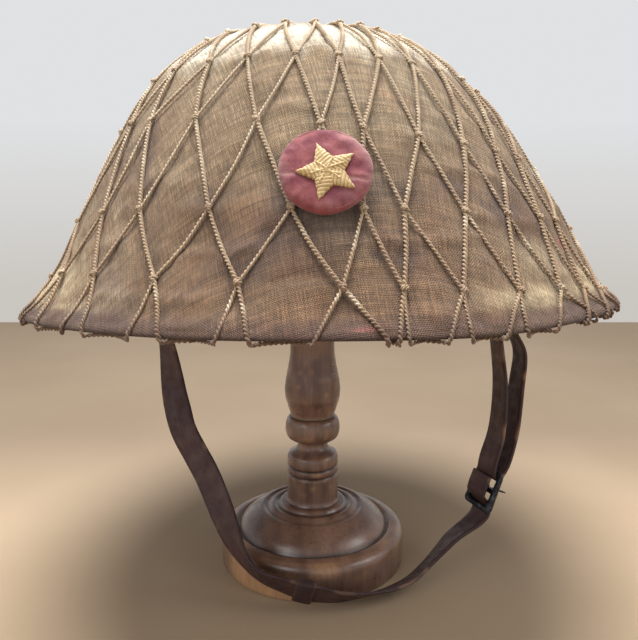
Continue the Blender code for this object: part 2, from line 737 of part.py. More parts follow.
def pierced_plate(name, across, along, thickness, finish, place):
    """A flat frame: a grid of cells between two sets of lines, every cell open but the outer ones.

    `across` and `along` are the grid's lines; a cell is open when its place in both sets is odd.
    """
    shape = bmesh.new()
    layers = []
    for z in (-thickness / 2, thickness / 2):
        layers.append([[shape.verts.new((x, y, z)) for y in along] for x in across])
    low, high = layers

    def filled(i, j):
        return 0 <= i < len(across) - 1 and 0 <= j < len(along) - 1 and not (i % 2 and j % 2)

    for i in range(len(across) - 1):
        for j in range(len(along) - 1):
            if not filled(i, j):
                continue
            corners = ((i, j), (i + 1, j), (i + 1, j + 1), (i, j + 1))
            shape.faces.new([high[a][b] for a, b in corners])
            shape.faces.new([low[a][b] for a, b in reversed(corners)])
            beside = ((i, j - 1), (i + 1, j), (i, j + 1), (i - 1, j))
            for k, (a, b) in enumerate(beside):
                if not filled(a, b):
                    (c, d), (e, f) = corners[k], corners[(k + 1) % 4]
                    shape.faces.new((low[c][d], low[e][f], high[e][f], high[c][d]))
    bmesh.ops.recalc_face_normals(shape, faces=shape.faces)
    mesh = bpy.data.meshes.new(name)
    shape.to_mesh(mesh)
    shape.free()
    mesh.materials.append(finish)
    made = bpy.data.objects.new(name, mesh)
    bpy.context.scene.collection.objects.link(made)
    made.matrix_world = place
    return made


def axes_matrix(middle, x_axis, y_axis):
    """Matrix with its origin at a middle and its first two axes along two directions."""
    x_axis = unit(x_axis)
    z_axis = unit(np.cross(x_axis, y_axis))
    y_axis = np.cross(z_axis, x_axis)
    turned = Matrix((Vector(x_axis), Vector(y_axis), Vector(z_axis))).transposed()
    return Matrix.Translation(Vector(middle)) @ turned.to_4x4()


def anchor(name, seat, place, finish):
    """A plain frame that stands in from the helmet's inner wall. Returns its inner bar and axes."""
    turn, height = math.radians(place[0]), place[1]
    length = length_at_height(height)
    on_wall = seat @ Vector(bell_point(turn, length, SHELL_INSIDE + GAP))
    ahead = seat @ Vector(bell_point(turn + TURN_STEP, length, SHELL_INSIDE)) \
        - seat @ Vector(bell_point(turn - TURN_STEP, length, SHELL_INSIDE))
    outwards = np.array((on_wall.x, on_wall.y, 0.0))
    width_axis = unit(np.array((ahead.x, ahead.y, 0.0)) * (-1 if place[0] < 0 else 1))
    outwards = unit(outwards - np.dot(outwards, width_axis) * width_axis)
    half_width = STRAP_WIDTH / 2 + ANCHOR_ROD
    middle = np.array(on_wall) - outwards * (ANCHOR_DEPTH / 2 + ANCHOR_ROD / 2 + FACET_SAG)
    lines_across = (-half_width, -STRAP_WIDTH / 2 - GAP, STRAP_WIDTH / 2 + GAP, half_width)
    half_depth = ANCHOR_DEPTH / 2
    lines_along = (-half_depth, -half_depth + ANCHOR_ROD, half_depth - ANCHOR_ROD, half_depth)
    matrix = axes_matrix(middle, width_axis, outwards)
    pierced_plate(name, lines_across, lines_along, ANCHOR_ROD, finish, matrix)
    bar = middle - outwards * (half_depth - ANCHOR_ROD / 2)
    return bar, width_axis, outwards


def half_turn(bar, bar_radius, side, over):
    """Middles of a strap that turns round a bar, from `side` of it over `over` to the other side."""
    radius = bar_radius + GAP + STRAP_THICKNESS / 2
    angles = np.linspace(0, math.pi, TURN_POINTS)[:, None]
    return bar + radius * (np.cos(angles) * side + np.sin(angles) * over)


def strap_line(left_bar, left_out, left_width, seat_of_buckle):
    """Middles and width directions of the chin strap, from its turned-back end to the buckle."""
    start = half_turn(left_bar, ROD_CORNER, left_out, UP)
    tail = start[0] - np.outer((1.0, 0.5), UP) * TURN_BACK
    middles = [*tail, *start]
    widths = [left_width] * len(middles)
    stations = []
    for anchor_share, ring_share, ahead, rise, lift, _ in STRAP_STATIONS:
        stations.append(((anchor_share * abs(left_bar[0]) if anchor_share < 0
                          else anchor_share * seat_of_buckle["reach"]) + ring_share * RING_OUT,
                         -ahead * RING_OUT, rise * RIM_HEIGHT + lift * STRAP_WIDTH))
    stations = np.array(stations)
    whole = np.vstack((left_bar, stations, seat_of_buckle["lower"]))
    along = whole[2:] - whole[:-2]
    for i, station in enumerate(STRAP_STATIONS):
        direction = unit(along[i])
        normal = face_normal(direction, math.radians(station[5]))
        middles.append(stations[i])
        widths.append(np.cross(direction, normal))
    middle, up, out, across = (seat_of_buckle[k] for k in ("middle", "up", "out", "across"))
    for rise, outside in THREADED_END:
        middles.append(middle + up * rise * BUCKLE_LENGTH + out * outside * BAR_WIDTH)
        widths.append(across)
    return np.array(middles), np.array(widths)


def buckle_seat(right_bar):
    """Middle and axes of the buckle, hung from the right frame."""
    share, ahead, rise, face = BUCKLE_PLACE
    middle = np.array((share * right_bar[0], -ahead * RING_OUT, rise * RIM_HEIGHT))
    up = unit(np.array(BUCKLE_RISE))
    out = face_normal(up, math.radians(face))
    across = np.cross(up, out)
    half = BUCKLE_LENGTH / 2 - BAR_WIDTH / 2
    return {"middle": middle, "up": up, "out": out, "across": across, "reach": right_bar[0],
            "lower": middle - up * half, "upper": middle + up * half}


def doubled_line(right_bar, right_out, right_width, seat_of_buckle):
    """Middles and width directions of the closed band between the right frame and the buckle."""
    upper, up, out, across = (seat_of_buckle[k] for k in ("upper", "up", "out", "across"))
    low = half_turn(upper, BAR_CORNER, out, -up)
    high = half_turn(right_bar, ROD_CORNER, -right_out, UP)
    way = np.linalg.norm(right_bar - upper)
    inner, outer = [], []
    for share, bow_in, bow_out in DOUBLED_STATIONS:
        side = unit((1 - share) * out + share * right_out)
        inner.append((1 - share) * low[-1] + share * high[0] + side * bow_in * way)
        outer.append((1 - share) * low[0] + share * high[-1] + side * bow_out * way)
    middles = np.vstack((low, inner, high, outer[::-1]))
    blend = np.array([share for share, _, _ in DOUBLED_STATIONS])[:, None]
    between = (1 - blend) * across + blend * right_width
    at_buckle, at_frame = (np.tile(axis, (TURN_POINTS, 1)) for axis in (across, right_width))
    widths = np.vstack((at_buckle, between, at_frame, between[::-1]))
    return middles, widths


def keeper(middles, widths, station, finish):
    """The leather loop round the strap: a ring of wall carried along the strap's own line."""
    steps = 12
    line, _, across, normal = strap_frames(middles, widths, steps)
    lengths = np.concatenate(((0,), np.cumsum(np.linalg.norm(np.diff(line, axis=0), axis=1))))
    middle = lengths[station * steps] + KEEPER_SHIFT
    places = [int(np.argmin(abs(lengths - middle - share * KEEPER_LENGTH))) for share in (-0.5, 0, 0.5)]
    half_width = STRAP_WIDTH / 2 + GAP
    half_thick = STRAP_THICKNESS / 2 + GAP
    points = []
    for i in places:
        for wall in (0.0, KEEPER_WALL):
            for side, face in ((1, 1), (-1, 1), (-1, -1), (1, -1)):
                points.append(line[i] + side * (half_width + wall) * across[i]
                              + face * (half_thick + wall) * normal[i])
    faces = []
    last = 8 * (len(places) - 1)
    for side in range(4):
        after = (side + 1) % 4
        for here in range(0, last, 8):
            faces.append((here + side, here + after, here + 8 + after, here + 8 + side))
            faces.append((here + 4 + side, here + 12 + side, here + 12 + after, here + 4 + after))
        faces.append((side, 4 + side, 4 + after, after))
        faces.append((last + side, last + after, last + 4 + after, last + 4 + side))
    return solid("strap_keeper", points, faces, finish)


def buckle_and_prong(seat_of_buckle, metal):
    """The buckle's frame with three bars, and the prong that turns on the middle one."""
    half_window = STRAP_WIDTH / 2 + GAP
    half_width = half_window + BAR_WIDTH
    half = BUCKLE_LENGTH / 2
    across = (-half_width, -half_window, half_window, half_width)
    along = (-half, -half + BAR_WIDTH, -BAR_WIDTH / 2, BAR_WIDTH / 2, half - BAR_WIDTH, half)
    matrix = axes_matrix(seat_of_buckle["middle"], seat_of_buckle["across"], seat_of_buckle["up"])
    frame = pierced_plate("strap_buckle", across, along, BAR_WIDTH, metal, matrix)
    bevel = frame.modifiers.new("worn_edges", "BEVEL")
    bevel.width = BAR_BEVEL
    bevel.segments = 1
    middle, up, out, width_axis = (seat_of_buckle[k] for k in ("middle", "up", "out", "across"))
    inner = BAR_WIDTH / 2 + GAP
    outer = inner + PRONG_WALL
    tip_out, tip_half = outer + PRONG_REACH, PRONG_TIP / 2
    outline = ((-inner, -inner), (inner, -inner), (inner, inner), (-inner, inner))
    ring = ((-outer, -outer), (outer, -outer), (outer, outer), (-outer, outer))
    points, faces = [], []
    for side in (-0.5, 0.5):
        for along_up, along_out in outline + ring:
            points.append(middle + up * along_up + out * along_out + width_axis * side * PRONG_WIDTH)
        for along_up in (tip_half, -tip_half):
            points.append(middle + up * along_up + out * tip_out + width_axis * side * PRONG_TIP)
    for start in (0, 1, 3):
        after = (start + 1) % 4
        faces.append((4 + start, 4 + after, 14 + after, 14 + start))
    for side in range(4):
        after = (side + 1) % 4
        faces.append((side, 10 + side, 10 + after, after))
        faces.append((side, after, 4 + after, 4 + side))
        faces.append((10 + side, 14 + side, 14 + after, 10 + after))
    faces += [(6, 7, 9, 8), (16, 18, 19, 17), (6, 8, 18, 16), (7, 17, 19, 9), (8, 9, 19, 18)]
    return solid("buckle_prong", points, faces, metal)


def stand(seat, finish):
    """The turned foot, and the column whose head carries the crown from inside."""
    base = [(r * BASE_RADIUS, z * BASE_HEIGHT) for r, z in BASE_OUTLINE]
    lathe("stand_base", base, BASE_SIDES, finish)
    foot = BASE_HEIGHT + GAP
    shaft = [(r * COLUMN_RADIUS, foot + z * TURNED_HEIGHT) for r, z in COLUMN_OUTLINE]
    turns = np.linspace(0, 2 * math.pi, PROBES_AROUND)[None, :]
    lengths = np.linspace(0.5, 1.0, PROBES_UP)[:, None] * BELL_LENGTH
    inner = bell_point(turns, lengths, SHELL_INSIDE).reshape(-1, 3)
    inner = np.array([seat @ Vector(point) for point in inner])
    radii = np.hypot(inner[:, 0], inner[:, 1])
    head = [(r * HEAD_RADIUS, z * HEAD_HEIGHT) for r, z in HEAD_OUTLINE]
    widest = max(range(len(head)), key=lambda i: head[i][0])
    dome = np.array(head[widest:][::-1])
    near = radii <= HEAD_RADIUS
    room = inner[near, 2] - np.interp(radii[near], dome[:, 0], dome[:, 1])
    bottom = room.min() - GAP
    shaft += [(r, bottom + z) for r, z in head]
    lathe("stand_column", shaft, COLUMN_SIDES, finish)


def build():
    clear_scene()
    khaki = material("khaki_cloth", (0.42, 0.33, 0.21), 0.95)
    pith = material("pale_pith", (0.50, 0.42, 0.30), 0.9)
    straw = material("straw_cord", (0.62, 0.50, 0.30), 0.85)
    rose = material("rose_cloth", (0.42, 0.10, 0.12), 0.85)
    yellow = material("yellow_thread", (0.72, 0.52, 0.20), 0.6)
    leather = material("dark_leather", (0.07, 0.035, 0.03), 0.6)
    metal = material("dark_metal", (0.05, 0.055, 0.065), 0.45, 0.8)
    wood = material("stained_wood", (0.16, 0.075, 0.04), 0.38)

    seat_empty = bpy.data.objects.new("helmet_seat", None)
    bpy.context.scene.collection.objects.link(seat_empty)
    seat_empty.location = (SEAT_SHIFT, 0.0, RIM_HEIGHT)
    seat_empty.rotation_euler = Euler((-LEAN_BACK, -LEAN_LEFT, 0.0))
    seat = Matrix.Translation(seat_empty.location) @ seat_empty.rotation_euler.to_matrix().to_4x4()

    helmet_shell(seat_empty, pith)
    cloth_cover(seat_empty, khaki)
    cord_net(seat_empty, straw)
    badge(seat_empty, rose, yellow)

    left_bar, left_width, left_out = anchor("strap_anchor_left", seat, LEFT_FRAME_PLACE, metal)
    right_bar, right_width, right_out = anchor("strap_anchor_right", seat, RIGHT_FRAME_PLACE, metal)
    buckle = buckle_seat(right_bar)
    middles, widths = strap_line(left_bar, left_out, left_width, buckle)
    band("chin_strap", middles, widths, leather)
    keeper(middles, widths, TOP_POINTS + KEEPER_STATION, leather)
    middles, widths = doubled_line(right_bar, right_out, right_width, buckle)
    band("buckle_strap", middles, widths, leather, closed=True)
    buckle_and_prong(buckle, metal)
    stand(seat, wood)


build()
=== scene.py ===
"""Pith helmet under a knotted cord net, with its leather chin strap, on a turned wooden stand.

Metres, +Z up. The stand's underside is at zero and the badge faces -Y. The bell of the helmet is
worked out level, with its rim's plane at zero, and is then leaned back onto the stand.
"""
import math

import bpy
import numpy as np
from mathutils import Euler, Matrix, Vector


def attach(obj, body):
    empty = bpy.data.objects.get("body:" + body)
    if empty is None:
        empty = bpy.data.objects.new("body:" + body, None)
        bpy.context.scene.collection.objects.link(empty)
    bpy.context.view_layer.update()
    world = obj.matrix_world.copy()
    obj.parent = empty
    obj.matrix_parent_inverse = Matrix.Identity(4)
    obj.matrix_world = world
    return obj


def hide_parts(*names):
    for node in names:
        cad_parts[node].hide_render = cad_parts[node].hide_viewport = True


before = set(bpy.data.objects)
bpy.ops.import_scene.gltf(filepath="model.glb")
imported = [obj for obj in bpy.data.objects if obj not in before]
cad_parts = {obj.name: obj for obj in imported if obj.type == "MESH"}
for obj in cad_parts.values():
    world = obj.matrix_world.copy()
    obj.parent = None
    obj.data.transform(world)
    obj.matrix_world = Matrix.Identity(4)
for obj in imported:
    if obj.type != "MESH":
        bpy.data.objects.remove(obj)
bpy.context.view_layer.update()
RANDOM = np.random.default_rng(7)
TURN = 2 * math.pi

# Helmet
BRIM_HALF_WIDTH = 0.140
BRIM_HALF_LENGTH = 0.155
CROWN_HEIGHT = 0.128
CROWN_LEAN = 0.006
SHELL_WALL = 0.003
CLOTH_WALL = 0.0012
THREAD_SPACING = 0.00062
HEM_DEPTH = 0.026
RIM_LIFT = 0.0018
# The rolled lip inside the rim, and how far the rim stands out on the flanks just above it.
LIP_HEIGHT = 0.009
LIP_DEPTH = 0.0022
FLARE_OUT = 0.0022
FLARE_HEIGHT = 0.003
FLARE_HALF_HEIGHT = 0.0055
GAP = 0.0003
SEAT = np.array((0.0035, 0.0, 0.137))
LEAN = np.array(Euler((math.radians(-4.0), math.radians(-1.25), 0.0)).to_matrix())

# Net
PLY_RADIUS = 0.00044
TWIST_LENGTH = 0.0033
NET_LIFT = 0.0008
MESHES_AROUND = 24
CROWN_RING_RADIUS = 0.016
TUCK_DEPTH = 0.012
CORD_SPACING = 0.00046
RING_CORD_THICKNESS = 1.1
CORD_ROUND_UV = 0.006
PRESS_HALF_WIDTH = 0.0032

# Badge
BADGE_RADIUS = 0.0154
BADGE_THICKNESS = 0.0040
STAR_RADIUS = 0.0107
STAR_WAIST = 0.0054
STAR_PLACE = (0.0006, -0.0015)
BADGE_TURN = math.radians(1.8)
BADGE_HEIGHT_SHARE = 0.400
BADGE_UPRIGHT = math.radians(7.0)
BADGE_LIFT = 0.0036
STAR_TWIST = math.radians(18.0)
STITCH_LENGTH = 0.00130
# Threads that tie the star's stitches: slope, offset, half length.
STAR_TIES = ((0.35, -0.0012, 0.0058), (-0.80, -0.0013, 0.0050), (1.9, -0.0016, 0.0052),
             (-0.15, -0.0024, 0.0042))

# Chin strap and its buckle
STRAP_WIDTH = 0.0140
STRAP_THICKNESS = 0.0017
TURN_BACK = 0.011
KEEPER_LENGTH = 0.0092
KEEPER_WALL = 0.0010
KEEPER_SHIFT = 0.0028
KEEPER_BEND = 0.0004
BUCKLE_LENGTH = 0.0220
BAR_WIDTH = 0.0026
PRONG_WIDTH = 0.0018
PRONG_REACH = 0.0122
ANCHOR_DEPTH = 0.0130
ANCHOR_ROD = 0.0030
RIM_HEIGHT = 0.137

# Stand
BASE_RADIUS = 0.0485
BASE_HEIGHT = 0.0315
COLUMN_RADIUS = 0.0134
TURNED_HEIGHT = 0.0845

# The bell's outline: share of the rim's half width, share of the crown's height.
BELL_OUTLINE = ((1.000, 0.00), (0.941, 0.07), (0.868, 0.20), (0.769, 0.40), (0.671, 0.60),
                (0.573, 0.76), (0.460, 0.88), (0.310, 0.96), (0.000, 1.00))

# Dents: turn in degrees, height share, depth as a share of the half width, half width in degrees,
# half height as a share of the crown.
DENTS = ((-78, 0.20, 0.012, 26, 0.10), (82, 0.32, -0.009, 30, 0.10), (66, 0.78, 0.009, 26, 0.10),
         (-20, 0.24, 0.006, 9, 0.07), (140, 0.45, 0.010, 24, 0.14), (-135, 0.30, 0.010, 22, 0.12))

# Waves of the rim: turn in degrees, drop as a share of the crown's height, half width in degrees.
RIM_WAVES = ((24, 0.011, 16), (-38, -0.009, 24), (118, 0.010, 30), (-125, 0.008, 34))

# Rows of knots from the top: height share, its fall to the right, place of the first knot, turns.
KNOT_ROWS = (
    (0.935, 0.00, 0.5, (-36, -21, -7, 6, 17, 27, 37)),
    (0.778, 0.02, 0.0, (-44.7, -29.1, -16.7, -3.2, 8.4, 19.6, 30.1, 40.7, 53.3)),
    (0.557, 0.09, -0.5, (-54, -42.6, -26.7, -11.7, 1.6, 10.1, 21.8, 32.7, 42.9, 52.5)),
    (0.322, 0.03, 0.0, (-46.4, -33.9, -18.5, -4.1, 7.8, 14.8, 26.4, 36.4, 46.9, 54.5)),
    (0.130, 0.05, -0.5, (-53, -39.4, -25.2, -11.3, 3.5, 12.1, 21.1, 31.4, 41.4, 49.3, 57.5)),
)
TUCKED_TURNS = (-46, -32, -17.5, -4.5, 8.6, 14, 23, 32, 41, 49)

# Turned outlines: share of the radius, share of the height.
DISC_OUTLINE = ((0.960, 0.00), (1.000, 0.20), (1.000, 0.42), (0.940, 0.68), (0.780, 0.85),
                (0.450, 0.96), (0.000, 1.00))
BASE_OUTLINE = (
    (0.000, 0.000), (0.978, 0.000), (0.994, 0.012), (1.000, 0.040), (1.000, 0.420), (0.998, 0.465),
    (0.990, 0.505), (0.975, 0.540), (0.952, 0.568), (0.925, 0.588), (0.895, 0.600), (0.868, 0.606),
    (0.850, 0.604), (0.840, 0.594), (0.832, 0.580), (0.822, 0.572), (0.812, 0.576), (0.804, 0.594),
    (0.796, 0.622), (0.782, 0.656), (0.762, 0.696), (0.732, 0.742), (0.692, 0.792), (0.646, 0.840),
    (0.604, 0.876), (0.572, 0.898), (0.554, 0.906), (0.538, 0.904), (0.524, 0.894), (0.510, 0.886),
    (0.496, 0.888), (0.480, 0.904), (0.464, 0.928), (0.446, 0.944), (0.424, 0.948), (0.404, 0.940),
    (0.388, 0.928), (0.374, 0.934), (0.363, 0.956), (0.353, 0.984), (0.342, 0.997), (0.330, 1.000),
    (0.000, 1.000))
COLUMN_OUTLINE = (
    (0.000, 0.000), (1.060, 0.000), (1.015, 0.012), (1.000, 0.026), (1.000, 0.168), (0.985, 0.174),
    (0.945, 0.181), (0.985, 0.188), (1.000, 0.194), (1.000, 0.215), (0.985, 0.221), (0.945, 0.228),
    (0.985, 0.235), (1.000, 0.241), (1.000, 0.275), (0.985, 0.294), (0.940, 0.309), (0.760, 0.324),
    (0.650, 0.338), (0.600, 0.356), (0.590, 0.373), (0.610, 0.388), (0.680, 0.398), (0.860, 0.402),
    (0.950, 0.412), (1.020, 0.428), (1.062, 0.452), (1.066, 0.480), (1.045, 0.508), (0.990, 0.532),
    (0.935, 0.544), (0.870, 0.550), (0.862, 0.562), (0.880, 0.575), (0.960, 0.612), (1.060, 0.665),
    (1.086, 0.720), (1.040, 0.785), (0.930, 0.870), (0.860, 0.945), (0.845, 1.000))
HEAD_OUTLINE = ((0.42, 0.00), (0.80, 0.22), (1.00, 0.48), (0.96, 0.66), (0.74, 0.86), (0.40, 0.97),
                (0.00, 1.00))
# Rubbed patches of the foot: turn and half width in degrees, height and half height, strength.
RUBBED_PATCHES = ((278, 8, 0.0155, 0.0032, 0.60), (215, 9, 0.0180, 0.0030, 0.55),
                  (266, 6, 0.0018, 0.0024, 0.8))
# Heights of the column's grooves, painted dark as shade, as shares of its turned height.
COLUMN_GROOVES = (0.181, 0.228, 0.400, 0.552)
HEAD_RADIUS = 0.030
HEAD_HEIGHT = 0.024

# Stations of the chin strap: across as a share of its frame's distance, across and forward as shares
# of the way out to the strap on the foot, height as a share of the rim's and in strap widths, and the
# turn of its face in degrees.
STRAP_STATIONS = (
    (-0.820, 0.000, -0.10, 0.840, 0.00, 45),
    (-0.752, 0.000, 0.10, 0.615, 0.00, 8),
    (-0.711, 0.000, 0.20, 0.537, 0.00, 6),
    (-0.636, 0.000, 0.31, 0.457, 0.00, 6),
    (-0.562, 0.000, 0.43, 0.381, 0.00, 8),
    (-0.235, -0.450, 0.62, 0.275, 0.00, 14),
    (-0.100, -0.590, 0.77, 0.210, 0.00, 26),
    (0.000, -0.665, 0.90, 0.120, 0.40, 42),
    (0.000, -0.500, 1.030, 0.000, 1.16, 46),
    (0.000, -0.270, 1.090, 0.000, 0.92, 36),
    (0.000, -0.128, 1.112, 0.000, 0.79, 31),
    (0.000, 0.067, 1.116, 0.000, 0.64, 32),
    (0.000, 0.217, 1.105, 0.000, 0.52, 40),
    (0.000, 0.462, 1.050, 0.000, 0.44, 51),
    (0.000, 0.698, 0.940, 0.000, 0.37, 57),
    (0.000, 0.890, 0.810, 0.000, 0.36, 61),
    (0.000, 1.055, 0.650, 0.000, 0.42, 65),
    (0.000, 1.196, 0.540, 0.000, 0.68, 75),
    (0.330, 0.690, 0.400, 0.050, 0.76, 88),
)
# The doubled strap: share of the way up from the buckle, bow of its inner and of its outer strand.
DOUBLED_STATIONS = ((0.18, 0.024, 0.045), (0.42, 0.003, 0.036), (0.58, -0.038, 0.022),
                    (0.73, -0.070, -0.070), (0.88, -0.036, -0.040))
# The strap's end in the buckle: along the buckle in its lengths, outwards in widths of its bars.
THREADED_END = ((-0.441, 1.18), (-0.300, 0.28), (-0.170, -1.52), (-0.010, -1.74),
                (0.160, -1.74), (0.310, -1.72))
# The buckle: shares across, forward and up, the turn of its face in degrees, and its long direction.
BUCKLE_PLACE = (0.823, 0.200, 0.307, 112)
BUCKLE_RISE = (0.36, 0.14, 0.92)
# The two frames inside the helmet: turn in degrees, height share.
LEFT_FRAME_PLACE = (-92, 0.30)
RIGHT_FRAME_PLACE = (92, 0.17)
KEEPER_STATION = 10
TURN_POINTS = 5

# Lamps: name, place, what it shines at, size, watts.
LAMPS = (("overhead", (-0.04, 0.11, 1.20), (0, 0, 0.15), 0.9, 33),
         ("right", (0.95, -0.25, 0.75), (0, 0, 0.12), 0.7, 4),
         ("front_left", (-0.9, -1.1, 0.9), (0, 0, 0.15), 0.9, 5))
WALL_LOW = (0.590, 0.565, 0.525, 1.0)
WALL_HIGH = (0.745, 0.753, 0.768, 1.0)
CAMERA_PLACE = (0.0034, -0.3493, 0.1903)
CAMERA_PITCH = math.radians(80)
CAMERA_LENS = 38.81

UP = np.array((0.0, 0.0, 1.0))
TOWARDS_VIEWER = np.array((0.0, -1.0, 0.0))
POLE_GAP = 0.0004
SHELL_OUTSIDE = CLOTH_WALL + GAP
SHELL_INSIDE = SHELL_OUTSIDE + SHELL_WALL
HEM_OUTSIDE = SHELL_INSIDE + GAP
HEM_INSIDE = HEM_OUTSIDE + CLOTH_WALL
FLARE = (1 - BELL_OUTLINE[1][0]) * (BRIM_HALF_WIDTH + BRIM_HALF_LENGTH) / 2
CLIMB = BELL_OUTLINE[1][1] * CROWN_HEIGHT
RIM_FLARE = FLARE / math.hypot(FLARE, CLIMB)
RIM_CLIMB = CLIMB / math.hypot(FLARE, CLIMB)
RIM_START = RIM_LIFT / RIM_CLIMB
UNDER_WAY = HEM_INSIDE + 2 * NET_LIFT
FACET_SAG = BRIM_HALF_LENGTH * (1 - math.cos(math.pi / 30))
RING_OUT = BASE_RADIUS + GAP + STRAP_THICKNESS / 2


# Lines and surfaces

def eased(share):
    """A share that starts and ends gently."""
    return share * share * (3 - 2 * share)


def short_way(angle):
    """An angle in radians, the short way round."""
    return (angle + math.pi) % TURN - math.pi


def metres_gone(points):
    """Metres gone at each point of a line, or of each of several lines."""
    steps = np.linalg.norm(np.diff(points, axis=-2), axis=-1)
    return np.concatenate((np.zeros((*steps.shape[:-1], 1)), np.cumsum(steps, axis=-1)), axis=-1)


def cubic(before, start, end, after, share):
    """A cubic from start to end whose slopes follow the neighbours of both."""
    return 0.5 * (2 * start + (end - before) * share
                  + (2 * before - 5 * start + 4 * end - after) * share ** 2
                  + (3 * start - before - 3 * end + after) * share ** 3)


def smooth_line(rows, steps):
    """Cubic through the rows, by each stretch's two ends and their neighbours, `steps` points each."""
    rows = np.asarray(rows, float)
    padded = np.vstack((2 * rows[0] - rows[1], rows, 2 * rows[-1] - rows[-2]))
    share = (np.arange(steps) / steps)[None, :, None]
    line = cubic(*(padded[i:len(padded) - 3 + i][:, None, :] for i in range(4)), share)
    return np.vstack((line.reshape(-1, rows.shape[1]), rows[-1:]))


def bell_line():
    """The bell's outline as fine rows of radius share, height share and length from the rim."""
    rows = list(BELL_OUTLINE)
    line = smooth_line(rows + [(-rows[-2][0], rows[-2][1])], 40)[:40 * (len(rows) - 1) + 1]
    mean = (BRIM_HALF_WIDTH + BRIM_HALF_LENGTH) / 2
    steps = np.hypot(np.diff(line[:, 0]) * mean, np.diff(line[:, 1]) * CROWN_HEIGHT)
    return line[:, 0], line[:, 1], np.concatenate(((0.0,), np.cumsum(steps)))


RADIUS_SHARES, HEIGHT_SHARES, LENGTHS = bell_line()
BELL_LENGTH = LENGTHS[-1]


def length_at_height(share):
    return np.interp(share, HEIGHT_SHARES, LENGTHS)


def height_at(length):
    return np.interp(length, LENGTHS, HEIGHT_SHARES)


def radius_at(length):
    return np.interp(length, LENGTHS, RADIUS_SHARES)


def rim_length(depth):
    """How far up the wall the rim's level underside lies, for a depth inwards."""
    return (RIM_LIFT + depth * RIM_FLARE) / RIM_CLIMB


def off_turn(turn, middle):
    """Degrees from a turn to a middle turn, the short way round."""
    return (np.degrees(turn) - middle + 180) % 360 - 180


def mark(turn, height, middle, at_height, half_width, half_height):
    """A bell-shaped mark: one at its middle, fading with the turn in degrees and with the height."""
    away = off_turn(turn, middle) / half_width
    return np.exp(-away ** 2 - ((height - at_height) / half_height) ** 2)


def flank_share(turn):
    """How far a turn belongs to the flanks: fully on the right, 0.6 on the left."""
    return np.exp(-(off_turn(turn, 64) / 34) ** 2) + 0.6 * np.exp(-(off_turn(turn, -66) / 34) ** 2)


def bell_point(turn, length, depth):
    """Points of the bell: its outline round an ellipse, moved inwards along its normal by the depth.

    Below the rim it goes on straight. Dents and the rim's lip, which is deepest on the flanks, add to
    the depth, and the flare above the lip takes from it. Waves of the rim move it up and down, the
    crown leans left with the fourth power of its height, and the whole is leaned back.
    """
    turn, length, depth = np.broadcast_arrays(*(np.asarray(a, float) for a in (turn, length, depth)))
    inside = np.clip(length, 0, BELL_LENGTH)
    radius, height = radius_at(inside), height_at(inside)
    step = BELL_LENGTH / 400
    low, high = np.clip(inside - step, 0, None), np.clip(inside + step, None, BELL_LENGTH)
    mean = (BRIM_HALF_WIDTH + BRIM_HALF_LENGTH) / 2
    out = (radius_at(high) - radius_at(low)) * mean
    climb = (height_at(high) - height_at(low)) * CROWN_HEIGHT
    at_top = inside > BELL_LENGTH - step
    out, climb = np.where(at_top, -1.0, out), np.where(at_top, 0.0, climb)
    size = np.hypot(out, climb)
    out, climb = out / size, climb / size
    across, ahead = np.sin(turn) / BRIM_HALF_WIDTH, -np.cos(turn) / BRIM_HALF_LENGTH
    flat = np.hypot(across, ahead)
    across, ahead = across / flat, ahead / flat
    beyond = np.minimum(length, 0.0)
    x = BRIM_HALF_WIDTH * radius * np.sin(turn) + beyond * out * across
    y = -BRIM_HALF_LENGTH * radius * np.cos(turn) + beyond * out * ahead
    z = CROWN_HEIGHT * height + beyond * climb
    pushed = depth.copy()
    for middle, at_height, deep, half_width, half_height in DENTS:
        pushed += BRIM_HALF_WIDTH * deep * mark(turn, height, middle, at_height, half_width, half_height)
    flank = flank_share(turn)
    down = np.clip(1 - length / (LIP_HEIGHT * (1 + 0.45 * flank)), 0, 1)
    pushed += LIP_DEPTH * (1 + 0.9 * flank) * down ** 2 * (length > -0.004)
    flared = np.exp(-((length - FLARE_HEIGHT) / FLARE_HALF_HEIGHT) ** 2)
    pushed -= FLARE_OUT * (0.25 + 0.75 * flank) * flared
    for middle, drop, half_width in RIM_WAVES:
        z = z - CROWN_HEIGHT * drop * mark(turn, height, middle, 0.0, half_width, 0.12)
    x = x - pushed * climb * across - CROWN_LEAN * height ** 4
    y = y - pushed * climb * ahead
    z = z + pushed * out
    return np.stack((x, y, z), axis=-1) @ LEAN.T + SEAT


def local_radius(turn, length):
    """Metres to a radian of turn at a place on the bell."""
    return radius_at(length) * np.hypot(BRIM_HALF_WIDTH * np.cos(turn), BRIM_HALF_LENGTH * np.sin(turn))


def lumps(u, v, cells, seed):
    """Smooth random heights from -1 to 1: a table of random numbers, eased between its cells."""
    table = np.random.default_rng(seed).uniform(-1, 1, (64, 64))
    a, b = u * cells, v * cells
    i, j = np.floor(a).astype(int), np.floor(b).astype(int)
    p, q = eased(a - i), eased(b - j)
    low = table[i % 64, j % 64] * (1 - p) + table[(i + 1) % 64, j % 64] * p
    high = table[i % 64, (j + 1) % 64] * (1 - p) + table[(i + 1) % 64, (j + 1) % 64] * p
    return low * (1 - q) + high * q


# Meshes

def grid_quads(rows, sides):
    """Quads of a grid of points: rows along, sides closed round."""
    row = np.arange(rows - 1)[:, None] * sides
    here = np.arange(sides)[None, :]
    after = (here + 1) % sides
    corners = (row + here, row + after, row + sides + after, row + sides + here)
    return np.stack(corners, axis=-1).reshape(-1, 4)


